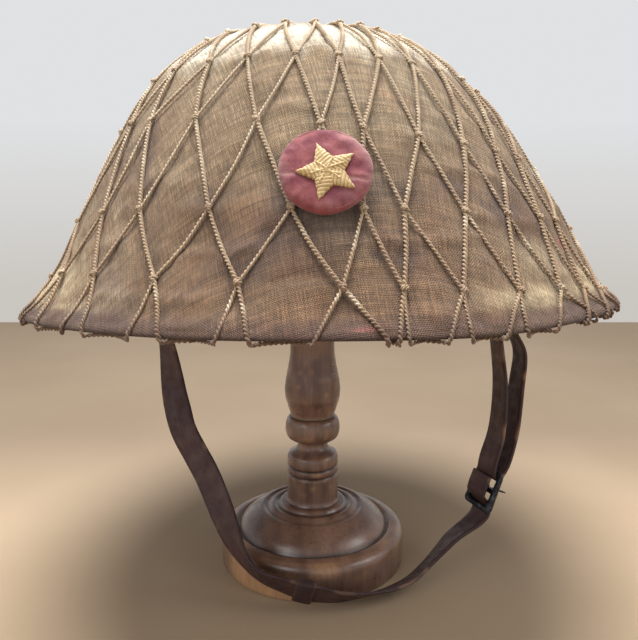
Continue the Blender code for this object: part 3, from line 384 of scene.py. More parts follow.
def closed_quads(rows, sides):
    """Quads of a grid whose last row joins its first."""
    ring = np.arange(sides)
    last, after = (rows - 1) * sides + ring, np.roll(ring, -1)
    joined = np.stack((last, last[0] + after, after, ring), axis=-1)
    return np.concatenate((grid_quads(rows, sides), joined))


def end_caps(rows, sides):
    """The first and the last row of a grid as faces that close its ends."""
    ring = np.arange(sides)
    return [ring[::-1], (rows - 1) * sides + ring]


def piece(name, points, quads, finish, stands_for=(), caps=(), uv=None, values=None, angle=None):
    """One shown object from arrays: points, quads, end caps, a UV per point and values per point."""
    mesh = bpy.data.meshes.new(name)
    points = np.asarray(points, float).reshape(-1, 3)
    loops = np.concatenate([np.asarray(quads, int).reshape(-1)] + [np.asarray(c, int) for c in caps])
    sizes = np.concatenate([np.full(len(quads), 4, int), [len(c) for c in caps]]).astype(int)
    mesh.vertices.add(len(points))
    mesh.vertices.foreach_set("co", points.astype(np.float32).reshape(-1))
    mesh.loops.add(len(loops))
    mesh.loops.foreach_set("vertex_index", loops.astype(np.int32))
    mesh.polygons.add(len(sizes))
    starts = np.concatenate(((0,), np.cumsum(sizes)[:-1]))
    mesh.polygons.foreach_set("loop_start", starts.astype(np.int32))
    mesh.update(calc_edges=True)
    if uv is not None:
        layer = mesh.uv_layers.new(name="cloth")
        layer.data.foreach_set("uv", np.asarray(uv, float).reshape(-1, 2)[loops].reshape(-1))
    for key, value in (values or {}).items():
        held = mesh.attributes.new(key, "FLOAT", "POINT")
        held.data.foreach_set("value", np.asarray(value, np.float32).reshape(-1))
    mesh.validate()
    mesh.shade_smooth()
    if angle:
        mesh.set_sharp_from_angle(angle=math.radians(angle))
    mesh.materials.append(finish)
    made = bpy.data.objects.new(name, mesh)
    bpy.context.scene.collection.objects.link(made)
    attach(made, "root")
    if stands_for:
        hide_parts(*stands_for)
    return made


def unit(vectors):
    return vectors / np.linalg.norm(vectors, axis=-1, keepdims=True)


def tubes(paths, normals, shape):
    """Many tubes at once: at each path's point, side and normal axes carry the shape's outline.

    `paths` and `normals` are cords by steps by 3; `shape` is cords by steps by sides by 2, as side
    and normal distances. The quads are wound to face out, and each end is closed.
    """
    cords, steps, _ = paths.shape
    sides = shape.shape[2]
    along = unit(np.gradient(paths, axis=1))
    normals = unit(normals - (normals * along).sum(-1, keepdims=True) * along)
    side = np.cross(along, normals)
    points = (paths[:, :, None, :] + shape[..., :1] * side[:, :, None, :]
              + shape[..., 1:] * normals[:, :, None, :])
    one = grid_quads(steps, sides)[:, ::-1]
    offsets = np.arange(cords)[:, None, None] * steps * sides
    quads = (one[None] + offsets).reshape(-1, 4)
    caps = [cord * steps * sides + cap[::-1] for cord in range(cords) for cap in end_caps(steps, sides)]
    return points.reshape(-1, 3), quads, caps


# Finishes

class Finish:
    """A procedural material: helpers that add nodes and give back their outputs."""

    def __init__(self, name, **sockets):
        self.made = bpy.data.materials.new(name)
        self.made.use_nodes = True
        self.tree = self.made.node_tree
        self.shader = self.tree.nodes["Principled BSDF"]
        for key, value in sockets.items():
            self.shader.inputs[key.replace("_", " ")].default_value = value
        self.place = self.tree.nodes.new("ShaderNodeTexCoord").outputs["Object"]

    def node(self, kind, values, settings=None, output=0):
        """Adds a node; values go to its inputs by number or name, and may be other nodes' outputs."""
        made = self.tree.nodes.new("ShaderNode" + kind)
        for key, value in (settings or {}).items():
            setattr(made, key, value)
        for key, value in values.items():
            if isinstance(value, bpy.types.NodeSocket):
                self.tree.links.new(value, made.inputs[key])
            else:
                made.inputs[key].default_value = value
        return made.outputs[output]

    def math(self, operation, first, second=0.0, third=0.0):
        return self.node("Math", {0: first, 1: second, 2: third}, {"operation": operation})

    def axis(self, place, number):
        """One of a place's three distances."""
        return self.node("SeparateXYZ", {0: place}, output=number)

    def value(self, name):
        return self.node("Attribute", {}, {"attribute_name": name}, "Fac")

    def uv(self, across=1.0, along=1.0):
        """The piece's own UV map in metres, stretched."""
        read = self.node("UVMap", {}, {"uv_map": "cloth"})
        return self.node("Mapping", {0: read, 3: (across, along, 1.0)})

    def stretched(self, x, y, z, turned=(0.0, 0.0, 0.0)):
        """Object coordinates, turned and stretched."""
        return self.node("Mapping", {0: self.place, 2: turned, 3: (x, y, z)})

    def noise(self, place, scale, detail=2.0, rough=0.5, warp=0.0):
        return self.node("TexNoise", {"Vector": place, "Scale": scale, "Detail": detail,
                                      "Roughness": rough, "Distortion": warp})

    def between(self, source, low, high, to_low=0.0, to_high=1.0):
        """A smooth step of a source from low to high."""
        return self.node("MapRange", {0: source, 1: low, 2: high, 3: to_low, 4: to_high},
                         {"interpolation_type": "SMOOTHSTEP"})

    def mix(self, share, first, second, blend="MIX"):
        first, second = ((*c, 1.0) if isinstance(c, tuple) and len(c) == 3 else c for c in (first, second))
        return self.node("Mix", {0: share, 6: first, 7: second},
                         {"data_type": "RGBA", "blend_type": blend}, 2)

    def shade(self, colour, share, strength=1.0):
        """Multiplies a colour by a grey share."""
        grey = self.node("CombineColor", {0: share, 1: share, 2: share})
        return self.mix(strength, colour, grey, "MULTIPLY")

    def bump(self, height, distance, strength=1.0, below=None):
        values = {"Height": height, "Distance": distance, "Strength": strength}
        if below is not None:
            values["Normal"] = below
        return self.node("Bump", values)

    def done(self, colour=None, rough=None, normal=None, metal=None):
        for key, source in (("Base Color", colour), ("Roughness", rough), ("Normal", normal),
                            ("Metallic", metal)):
            if source is not None:
                self.tree.links.new(source, self.shader.inputs[key])
        return self.made


def woven_cloth():
    """Coarse plain weave, warp over weft in turn, with slubs, stains and a browned lower part, a top paler by
    painted light, and painted shade at the rim, along the cords, round the badge and between the threads.
    """
    f = Finish("khaki_cloth", Roughness=0.95, Sheen_Weight=0.15, Sheen_Roughness=0.6,
               Specular_IOR_Level=0.15)
    drift = f.node("TexNoise", {"Vector": f.uv(), "Scale": 45.0, "Detail": 2.0}, output=1)
    drift = f.node("VectorMath", {0: drift, 1: (0.0016, 0.0016, 0.0)}, {"operation": "MULTIPLY"})
    warped = f.node("VectorMath", {0: f.uv(), 1: drift}, {"operation": "ADD"})
    thread = math.pi / THREAD_SPACING
    waves = [f.math("SINE", f.math("MULTIPLY", f.axis(warped, i), thread)) for i in (0, 1)]
    tops = [f.math("ABSOLUTE", wave) for wave in waves]
    over = f.between(f.math("MULTIPLY", *waves), -0.12, 0.12)
    weave = f.node("Mix", {0: over, 2: tops[1], 3: tops[0]})
    warp_slubs = f.noise(f.uv(1750.0, 44.0), 1.0, 2.0, 0.55)
    weft_slubs = f.noise(f.uv(44.0, 1750.0), 1.0, 2.0, 0.55)
    flecks = f.noise(f.uv(1500.0, 260.0), 1.0, 2.0, 0.6)
    bars = f.noise(f.uv(34.0, 420.0), 1.0, 3.0, 0.65)
    fuzz = f.noise(f.uv(), 900.0, 2.0, 0.7)

    colour = f.mix(f.value("browned"), (0.252, 0.172, 0.096), (0.145, 0.070, 0.031))
    purple = f.between(f.math("ADD", f.noise(f.place, 26.0, 4.0, 0.62, 0.6),
                              f.math("MULTIPLY", f.value("browned"), 0.08)), 0.50, 0.70)
    colour = f.mix(f.math("MULTIPLY", purple, 0.80), colour, (0.110, 0.060, 0.040))
    grey = f.between(f.noise(f.stretched(1, 1, 1.6), 19.0, 3.0, 0.6, 0.4), 0.52, 0.75)
    colour = f.mix(f.math("MULTIPLY", grey, 0.65), colour, (0.330, 0.262, 0.160))
    warm = f.between(f.noise(f.stretched(1.2, 1, 1.1), 47.0, 3.0, 0.6), 0.52, 0.78)
    colour = f.mix(f.math("MULTIPLY", warm, 0.5), colour, (0.215, 0.108, 0.048))
    straws = f.between(f.noise(f.stretched(1, 1, 3.0), 60.0, 3.0, 0.6, 0.5), 0.28, 0.60, 0.45, 1.0)
    colour = f.mix(f.math("MULTIPLY", f.value("straw"), straws), colour, (0.58, 0.46, 0.270))
    # Paler cream top: partly the cloth's own faded colour, partly painted light from above.
    colour = f.mix(f.value("cream_and_painted_top_light"), colour, (0.75, 0.675, 0.530))
    # Darker purple-brown cloth on the rolled lip, with painted shade where the lip turns under the rim.
    colour = f.mix(f.math("MULTIPLY", f.value("lip_and_painted_shade"), 0.88), colour, (0.092, 0.046, 0.030))
    # Painted shadow: a nearly black line along the rim's corner and its underside.
    colour = f.mix(f.math("MULTIPLY", f.value("painted_rim_shadow"), 0.85), colour, (0.042, 0.021, 0.016))
    # Dark smudges, and painted shade along the cords where the net presses the cloth.
    colour = f.mix(f.value("smudge_and_cord_shade"), colour, (0.075, 0.048, 0.040))
    # Painted shadow round and below the badge, dark with a blue-grey tint.
    colour = f.mix(f.value("bloom"), colour, (0.092, 0.080, 0.080))
    colour = f.mix(f.between(f.value("rust"), 0.12, 0.45, 0.0, 0.85), colour, (0.235, 0.085, 0.062))
    for slubs, low, high in ((warp_slubs, 0.76, 1.28), (weft_slubs, 0.80, 1.22), (flecks, 0.84, 1.30),
                             (bars, 0.86, 1.16)):
        colour = f.shade(colour, f.between(slubs, 0.32, 0.70, low, high))
    # Painted shade: darker in the low places of the weave, between the threads.
    colour = f.shade(colour, f.between(weave, 0.0, 0.9, 0.70, 1.12))
    height = f.math("MULTIPLY_ADD", warp_slubs, 0.8, f.math("MULTIPLY_ADD", weft_slubs, 0.6, weave))
    normal = f.bump(height, 0.00034, 0.9)
    normal = f.bump(fuzz, 0.00012, 0.5, normal)
    return f.done(colour, normal=normal)


def two_ply_cord():
    """Straw cord: fibres along each ply, painted shade in the groove between the plies, and dirt and painted
    shade near the rim.
    """
    f = Finish("straw_cord", Roughness=0.85, Sheen_Weight=0.2, Sheen_Roughness=0.5,
               Specular_IOR_Level=0.2)
    fibres = f.noise(f.uv(500.0, 5000.0), 1.0, 2.0, 0.6)
    patches = f.noise(f.place, 34.0, 3.0, 0.6)
    colour = f.mix(f.value("browned"), (0.52, 0.405, 0.275), (0.34, 0.225, 0.130))
    colour = f.mix(f.between(patches, 0.45, 0.75), colour, (0.35, 0.235, 0.16))
    colour = f.mix(f.between(f.noise(f.place, 95.0, 2.0), 0.56, 0.7), colour, (0.66, 0.55, 0.40))
    colour = f.shade(colour, f.between(fibres, 0.3, 0.7, 0.78, 1.18))
    # Painted shade in the groove between the two plies.
    colour = f.mix(f.math("MULTIPLY", f.value("groove_shade"), 0.72), colour, (0.15, 0.092, 0.062))
    # Darker near the rim and under it: dirt, and painted shade where the cords go under the rim.
    colour = f.mix(f.math("MULTIPLY", f.value("dirt_and_rim_shade"), 0.85), colour, (0.110, 0.064, 0.042))
    return f.done(colour, normal=f.bump(fibres, 0.0002, 0.6))


def strap_leather():
    """Dark purple-brown leather, browner on its inner face, with fine grain, cracks and worn edges."""
    f = Finish("dark_leather", Roughness=0.55, Specular_IOR_Level=0.35)
    grain = f.node("TexVoronoi", {"Vector": f.place, "Scale": 1500.0}, {"feature": "DISTANCE_TO_EDGE"})
    cracks = f.noise(f.uv(90.0, 900.0), 1.0, 3.0, 0.6)
    patches = f.noise(f.place, 70.0, 3.0, 0.6)
    colour = f.mix(f.between(patches, 0.35, 0.7), (0.052, 0.025, 0.026), (0.084, 0.042, 0.038))
    inner = f.mix(f.between(patches, 0.4, 0.7), (0.062, 0.032, 0.029), (0.100, 0.052, 0.042))
    colour = f.mix(f.value("inner"), colour, inner)
    colour = f.mix(f.value("edge"), colour, (0.030, 0.016, 0.016))
    colour = f.mix(f.value("wear"), colour, (0.26, 0.15, 0.09))
    colour = f.shade(colour, f.between(cracks, 0.35, 0.65, 0.90, 1.08))
    rough = f.between(f.noise(f.place, 240.0, 2.0), 0.3, 0.7, 0.42, 0.68)
    normal = f.bump(grain, 0.00025, 0.4)
    normal = f.bump(cracks, 0.0004, 0.35, normal)
    return f.done(colour, rough, normal)


def dark_metal():
    """Blackened iron with a blue-green bloom in its hollows and bare wear on its edges."""
    f = Finish("dark_metal", Roughness=0.45, Metallic=0.75)
    bloom = f.between(f.noise(f.place, 260.0, 3.0, 0.65), 0.42, 0.66)
    colour = f.mix(bloom, (0.030, 0.029, 0.036), (0.046, 0.060, 0.072))
    rust = f.between(f.noise(f.place, 420.0, 3.0, 0.7), 0.58, 0.74)
    colour = f.mix(rust, colour, (0.12, 0.05, 0.03))
    rough = f.between(f.noise(f.place, 500.0, 2.0), 0.3, 0.7, 0.32, 0.62)
    metal = f.between(f.math("MAXIMUM", bloom, rust), 0.0, 1.0, 0.9, 0.35)
    return f.done(colour, rough, f.bump(f.noise(f.place, 900.0, 3.0), 0.0003, 0.5), metal)


def stained_wood():
    """Turned wood: long grain and pores drawn along the axis of the tree, waxed, worn on its edges, with
    painted shade in its grooves and a painted highlight along the foot's top edge.
    """
    f = Finish("stained_wood", Roughness=0.38, Coat_Weight=0.5, Coat_Roughness=0.28)
    rings = f.node("TexWave", {"Vector": f.stretched(1, 1, 0.35, (0.35, 0.2, 0.0)), "Scale": 34.0,
                               "Distortion": 5.5, "Detail": 3.0, "Detail Scale": 1.4},
                   {"wave_type": "BANDS", "bands_direction": "X"}, 1)
    pores = f.noise(f.stretched(1.0, 1.0, 0.06), 900.0, 2.0, 0.6)
    blotches = f.noise(f.stretched(1, 1, 0.7), 42.0, 3.0, 0.6, 0.5)
    colour = f.mix(f.between(rings, 0.0, 1.0), (0.108, 0.055, 0.041), (0.158, 0.086, 0.063))
    colour = f.mix(f.between(blotches, 0.42, 0.70), colour, (0.225, 0.132, 0.096))
    colour = f.mix(f.value("worn"), colour, (0.45, 0.25, 0.125))
    # Painted shade: the turned grooves are made nearly black.
    colour = f.mix(f.value("groove_shade"), colour, (0.030, 0.014, 0.010))
    colour = f.shade(colour, f.between(pores, 0.35, 0.6, 0.84, 1.05))
    rough = f.between(f.noise(f.stretched(1, 1, 2.0), 130.0, 3.0), 0.3, 0.7, 0.26, 0.52)
    normal = f.bump(pores, 0.00022, 0.4)
    return f.done(colour, rough, normal)


def badge_cloth():
    """Dusty rose cotton with a very fine weave, faded along the folds and grey at its lower edge."""
    f = Finish("rose_cloth", Roughness=0.9, Sheen_Weight=0.25, Sheen_Roughness=0.5,
               Specular_IOR_Level=0.15)
    patches = f.noise(f.place, 170.0, 3.0, 0.6)
    colour = f.mix(f.between(patches, 0.35, 0.7), (0.165, 0.040, 0.055), (0.28, 0.088, 0.092))
    colour = f.mix(f.value("faded"), colour, (0.42, 0.24, 0.225))
    colour = f.mix(f.value("soiled"), colour, (0.22, 0.048, 0.048))
    weave = f.noise(f.place, 2600.0, 1.0)
    colour = f.shade(colour, f.between(weave, 0.3, 0.7, 0.86, 1.12))
    return f.done(colour, normal=f.bump(weave, 0.0002, 0.5))


def satin_stitch():
    """Yellow embroidery silk: threads side by side along each arm, with painted shade between the stitches
    and painted light on their crowns.
    """
    f = Finish("yellow_thread", Roughness=0.55, Sheen_Weight=0.2, Sheen_Roughness=0.4)
    patches = f.between(f.noise(f.place, 240.0, 2.0), 0.35, 0.7)
    colour = f.mix(patches, (0.44, 0.29, 0.115), (0.58, 0.42, 0.20))
    # Painted shade between the stitches, and painted light on their crowns and on the tying threads.
    colour = f.shade(colour, f.between(f.value("thread"), 0.0, 0.8, 0.62, 1.1))
    fibres = f.noise(f.place, 3800.0, 2.0)
    return f.done(colour, normal=f.bump(fibres, 0.00015, 0.4))


def pale_pith():
    """Pressed pith board: pale, matt, with faint fibres."""
    f = Finish("pale_pith", Roughness=0.92)
    fibres = f.noise(f.stretched(1, 1, 0.4), 420.0, 4.0, 0.7, 1.0)
    patches = f.between(f.noise(f.place, 16.0, 3.0), 0.35, 0.7)
    colour = f.mix(patches, (0.55, 0.45, 0.31), (0.43, 0.33, 0.21))
    colour = f.shade(colour, f.between(fibres, 0.3, 0.7, 0.85, 1.08))
    return f.done(colour, normal=f.bump(fibres, 0.0003, 0.5))


# Helmet

# Folds of the cloth: turn and height share of each end, half width and rise in millimetres.
FOLDS = (
    (-44, 0.800, 40, 0.815, 4.0, 0.9), (-30, 0.775, -12, 0.785, 3.0, 0.7), (5, 0.79, 30, 0.785, 3.5, 0.8),
    (-22, 0.215, -8, 0.225, 2.6, 0.9), (9, 0.245, 27, 0.235, 2.8, 1.0), (12, 0.06, 34, 0.075, 3.2, 0.9),
    (-50, 0.42, -24, 0.40, 3.4, 0.6), (-36, 0.105, -14, 0.10, 2.6, 0.7), (20, 0.44, 42, 0.41, 3.0, 0.7),
    (-14, 0.155, 2, 0.150, 2.4, -0.6), (28, 0.30, 46, 0.27, 2.6, 0.7), (-60, 0.24, -34, 0.25, 3.0, 0.6),
    (40, 0.14, 62, 0.12, 2.6, 0.8), (-8, 0.62, 14, 0.615, 3.2, 0.5), (30, 0.60, 52, 0.57, 3.0, 0.6),
    (60, 0.34, 96, 0.36, 3.4, 0.8), (-96, 0.50, -64, 0.46, 3.6, 0.8), (100, 0.62, 150, 0.60, 4.0, 0.8),
    (120, 0.22, 168, 0.25, 3.6, 0.9), (-170, 0.40, -120, 0.44, 4.0, 0.9), (-150, 0.16, -100, 0.14, 3.2, 0.8),
    (150, 0.80, 215, 0.82, 4.0, 0.8), (-120, 0.78, -70, 0.80, 4.0, 0.7))

# Smudges: turn, height share, half width in degrees, half height as a share, strength.
SMUDGES = (
    (9.1, 0.205, 1.0, 0.012, 0.85), (13.5, 0.20, 2.4, 0.028, 0.55), (-38, 0.055, 4.0, 0.02, 0.25),
    (17, 0.36, 5.0, 0.035, 0.35), (36, 0.33, 5.0, 0.05, 0.35), (-20, 0.36, 5.0, 0.03, 0.35),
    (46, 0.42, 5.0, 0.05, 0.35), (-8, 0.25, 5.0, 0.025, 0.3), (30, 0.56, 6.0, 0.05, 0.25),
    (-30.5, 0.065, 0.35, 0.006, 0.95), (-9, 0.17, 5, 0.03, 0.3), (130, 0.3, 14, 0.1, 0.3),
    (-120, 0.5, 14, 0.1, 0.3), (200, 0.25, 16, 0.08, 0.3))
RUSTS = ((-10.3, 0.010, 2.7, 0.009, 0.8), (5.9, 0.030, 2.0, 0.009, 0.8), (52, 0.22, 1.8, 0.03, 0.6),
         (-60, 0.46, 1.5, 0.02, 0.3))
# Straw patches, where the cloth has stayed pale: the same table.
STRAWS = ((62, 0.10, 17, 0.085, 1.0), (40, 0.17, 9, 0.05, 0.45), (-60, 0.14, 17, 0.11, 1.0),
          (78, 0.07, 13, 0.06, 1.0), (36, 0.085, 11, 0.032, 0.8), (52, 0.10, 9, 0.035, 0.8),
          (-44, 0.07, 9, 0.03, 0.6), (-36, 0.09, 9, 0.04, 0.3), (24, 0.10, 6, 0.04, 0.20),
          (-84, 0.3, 12, 0.12, 0.4), (90, 0.25, 14, 0.1, 0.6),
          (150, 0.15, 22, 0.08, 0.5), (-140, 0.2, 24, 0.1, 0.5))


def net_chart():
    """Rows of the net from the top: place of the first knot, the knots' turns, their lengths up."""
    chart = []
    rows = KNOT_ROWS + ((None, None, 0.0, TUCKED_TURNS),)
    for height, fall, first, shown in rows:
        hidden = MESHES_AROUND - len(shown)
        rest = shown[-1] + (shown[0] + 360 - shown[-1]) * np.arange(1, hidden + 1) / (hidden + 1)
        turns = np.radians(np.concatenate((shown, rest)))
        if height is None:
            lengths = np.full(MESHES_AROUND, -UNDER_WAY - TUCK_DEPTH)
        else:
            hang = np.exp(-((np.abs(off_turn(turns, 0)) - 75) / 20) ** 2)
            share = height - fall * np.sin(turns) - 0.030 * hang * (height < 0.5)
            lengths = length_at_height(share) - RIM_START
        chart.append((first, turns, lengths))
    return chart


def net_stretches(chart):
    """Each stretch of cord between two rows: its row, its two ends' turns and lengths, its side."""
    rows = []
    for row in range(len(chart) - 1):
        (first, turns, lengths), (next_first, next_turns, next_lengths) = chart[row:row + 2]
        for side in (-0.5, 0.5):
            to = np.round(first + np.arange(MESHES_AROUND) + side - next_first).astype(int) % MESHES_AROUND
            rows.append((row, side, turns, lengths, turns + short_way(next_turns[to] - turns),
                         next_lengths[to]))
    return rows


def nearest_share(du, dv, eu, ev):
    """Share of the way along a stretch, from its start, of the place that is nearest to a point."""
    return np.clip((du * eu + dv * ev) / (eu ** 2 + ev ** 2), 0, 1)


def pressed(turn, length, stretches):
    """How far the net presses the cloth in, from 0 to 1: a narrow valley along each cord."""
    radius = local_radius(turn, length)
    deep = np.zeros_like(turn)
    for _, _, turn_a, length_a, turn_b, length_b in stretches:
        for a, la, b, lb in zip(turn_a, length_a, turn_b, length_b):
            du = short_way(turn - a) * radius
            dv = length - RIM_START - la
            eu, ev = (b - a) * radius, lb - la
            share = nearest_share(du, dv, eu, ev)
            away = np.hypot(du - share * eu, dv - share * ev)
            deep = np.maximum(deep, np.exp(-(away / PRESS_HALF_WIDTH) ** 2))
    return deep


def spots(turn, height, table):
    """Soft spots: the largest of the table's bell-shaped marks at each point."""
    found = np.zeros_like(turn)
    for middle, at_height, half_width, half_height, strength in table:
        marked = mark(turn, height, middle, at_height, half_width, half_height)
        found = np.maximum(found, strength * marked)
    return found


def folded(turn, length):
    """Rise of the cloth: folds along short lines, and lumps of three sizes, in metres."""
    radius = local_radius(turn, length)
    rise = np.zeros_like(turn)
    for turn_a, height_a, turn_b, height_b, half_width, up in FOLDS:
        du = np.radians(off_turn(turn, turn_a)) * radius
        dv = length - length_at_height(height_a)
        eu = math.radians(turn_b - turn_a) * radius
        ev = length_at_height(height_b) - length_at_height(height_a)
        share = nearest_share(du, dv, eu, ev)
        wander = 0.0018 * lumps(du, share, 55, 5)
        away = np.hypot(du - share * eu, dv - share * ev + wander)
        rise += up * 0.001 * np.exp(-(away / (half_width * 0.001)) ** 2)
    u, v = np.sin(turn) * (BELL_LENGTH - length), np.cos(turn) * (BELL_LENGTH - length)
    round_way = off_turn(turn, 0)
    level = (lumps(round_way / 11 + 20, length * 105, 1.0, 6)
             + 0.6 * lumps(round_way / 6 + 40, length * 190, 1.0, 7))
    level = level * np.clip((180 - np.abs(round_way)) / 15, 0, 1)
    rise += 0.00042 * level * np.clip(2.2 - length / 0.055, 0, 1)
    return (rise + 0.00045 * lumps(u + 1, v + 1, 42, 1) + 0.00028 * lumps(u + 1, 2.2 * v + 1, 90, 2)
            + 0.00012 * lumps(u + 1, 1.6 * v + 1, 230, 3))


def carried_wall(name, section, turns, finish, stands_for, lift=None, uv=None, values=None):
    """A closed wall round the bell: rows of the section by turns, its two ends drawn in to poles."""
    length, depth = section[:, :1], section[:, 1:]
    depth = np.broadcast_to(depth, (len(section), len(turns)))
    if lift is not None:
        depth = depth - lift
    points = bell_point(turns[None, :], length, depth)
    quads = grid_quads(len(section), len(turns))[:, ::-1]
    caps = [cap[::-1] for cap in end_caps(len(section), len(turns))]
    return piece(name, points, quads, finish, stands_for, caps, uv, values, 50)


def at_depth(lengths, depth):
    """Rows of a wall's section: lengths up from the rim, all at one depth."""
    return np.stack((lengths, np.full(len(lengths), depth)), axis=-1)


def cover(stretches, finish):
    """The cloth: down the outside, round the rim, up the hem, over its top and back inside."""
    turns = np.arange(480) * TURN / 480
    shown = 150
    outside = np.linspace(BELL_LENGTH - POLE_GAP, RIM_START + 0.0034, shown)
    roll = np.array(((RIM_START + 0.0030, 0.0), (RIM_START + 0.0013, 0.0002), (rim_length(0.0008), 0.0008),
                     (rim_length(0.0019) - 0.0002, 0.0019), (rim_length(0.0040), 0.0040),
                     (rim_length(0.0055) + 0.0001, 0.0055), (rim_length(HEM_INSIDE) + 0.0010, HEM_INSIDE)))
    hem = np.linspace(rim_length(HEM_INSIDE) + 0.0018, HEM_DEPTH, 12)
    foot = CLOTH_WALL / RIM_CLIMB
    back = np.linspace(HEM_DEPTH, rim_length(HEM_OUTSIDE) + foot, 8)
    lining = np.linspace(rim_length(CLOTH_WALL) + foot, BELL_LENGTH - POLE_GAP, 20)
    section = np.vstack((at_depth(outside, 0.0), smooth_line(roll, 4), at_depth(hem, HEM_INSIDE),
                         at_depth(back, HEM_OUTSIDE), at_depth(lining, CLOTH_WALL)))
    turn, length = np.meshgrid(turns, section[:, 0])
    outer = (np.arange(len(section)) < shown)[:, None]
    height = height_at(length)
    press = pressed(turn, np.where(outer, length, -1), stretches)
    fade = np.clip((length - RIM_START) / 0.008, 0, 1) * outer
    lift = np.maximum(folded(turn, length) + 0.0002 - 0.0007 * press, -0.0010) * fade
    from_pole = metres_gone(section)[:, None] * np.ones_like(turn)
    skew = math.radians(-9)
    uv = np.stack((from_pole * np.sin(turn + skew), from_pole * np.cos(turn + skew)), axis=-1)
    browned = np.clip(1.0 - height / 0.62 + 0.2 * lumps(turn, height, 9, 11), 0, 1)
    # The top is painted paler: cream cloth and painted light from above, less of it towards the back.
    cream_and_painted_top_light = np.clip((height - 0.77) / 0.12 + 0.3 * lumps(turn + 1, height, 14, 12), 0, 1)
    cream_and_painted_top_light = cream_and_painted_top_light * np.clip((0.960 - height) / 0.05, 0.25, 1)
    cream_and_painted_top_light = cream_and_painted_top_light * (1 - 0.70 * np.exp(-(off_turn(turn, 180) / 95) ** 4))
    # Painted shadow of the badge: a dark blue-grey patch round its middle and below it, none above.
    bloom = np.exp(-(np.hypot(off_turn(turn, 1.8) / 9.6, (height - 0.385) / 0.155)) ** 4)
    bloom = bloom * (height < 0.47)
    flank = flank_share(turn)
    # Darker along the rolled lip, more on the flanks: the cloth's own darker colour and painted shade under
    # the rim.
    lip_and_painted_shade = eased(np.clip(1.9 - (length - RIM_START) / (0.0046 * (1 + 0.6 * flank)), 0, 1))
    values = {
        "browned": browned, "cream_and_painted_top_light": cream_and_painted_top_light * outer,
        # Smudges from the table, and painted shade along the cords.
        "smudge_and_cord_shade": spots(turn, height, SMUDGES) * outer + 0.25 * press * outer,
        "rust": spots(turn, height, RUSTS) * outer,
        # Painted shadow of the badge.
        "bloom": 0.55 * bloom * outer,
        "straw": spots(turn, height, STRAWS) * outer * np.clip((length - RIM_START - 0.006) / 0.003, 0, 1),
        "lip_and_painted_shade": lip_and_painted_shade * (0.8 + 0.2 * lumps(turn, length * 0, 18, 13)),
        # Painted shadow along the bottom few millimetres of the rim and round its underside.
        "painted_rim_shadow": np.clip(1 - (length - RIM_START - 0.0002) / 0.0024, 0, 1),
    }
    return carried_wall("cloth_covering", section, turns, finish, ("cloth_cover",),
                        lift, uv, values)


def shell(finish):
    """The pith wall between the cloth's layers, smooth inside."""
    turns = np.arange(160) * TURN / 160
    edge = (CLOTH_WALL + GAP) / RIM_CLIMB
    outer = np.linspace(BELL_LENGTH - POLE_GAP, rim_length(SHELL_OUTSIDE) + edge, 50)
    inner = np.linspace(rim_length(SHELL_INSIDE) + edge, BELL_LENGTH - POLE_GAP, 50)
    section = np.vstack((at_depth(outer, SHELL_OUTSIDE), at_depth(inner, SHELL_INSIDE)))
    lift = -0.0003 * lumps(np.sin(turns)[None, :] + 1, section[:, :1] * 10 + 1, 6, 21)
    lift = lift * (section[:, 1:] > SHELL_OUTSIDE)
    return carried_wall("pith_wall", section, turns, finish, ("helmet_shell",), lift)


def net_path(turn, reach, lift):
    """Points of the net, a lift away from the cloth: reach is the way up from the rim's corner.

    Below zero the way goes on round the corner, level under the rim and then up the hem.
    """
    under = np.clip(-reach / UNDER_WAY, 0, 1)
    depth = -lift + under * (HEM_INSIDE + 2 * lift)
    below = np.minimum(1.0, np.sin(under * math.pi) * 2.2)
    length = rim_length(np.clip(depth, 0, HEM_INSIDE))
    length = length + np.clip(reach, 0, None) + np.clip(-UNDER_WAY - reach, 0, None)
    return bell_point(turn, length - lift / RIM_CLIMB * below, depth)


def net_normals(turn, length):
    """Directions away from the surface along the net's way."""
    return unit(net_path(turn, length, 0.003) - net_path(turn, length, 0.0005))


def twisted(gone, thick, phase, sides=10):
    """Outline of two plies that twist: two touching rounds, turned by the way gone along the cord."""
    around = np.arange(sides) * TURN / sides
    far = PLY_RADIUS * (0.62 + 1.38 * np.abs(np.cos(around)) ** 1.3)
    angle = around[None, None, :] + (phase[:, None] + gone * TURN / TWIST_LENGTH)[:, :, None]
    size = far[None, None, :] * thick[:, :, None]
    # How far each side lies in the groove between the plies, for painted shade there.
    groove_shade = np.broadcast_to((1 - np.abs(np.cos(around)))[None, None, :] ** 2, angle.shape)
    return np.stack((size * np.cos(angle), size * np.sin(angle)), axis=-1), groove_shade


def cord_round(sides):
    """Where each side of a cord lies on the map of its finish."""
    return (np.arange(sides) / sides * CORD_ROUND_UV)[None, None, :]


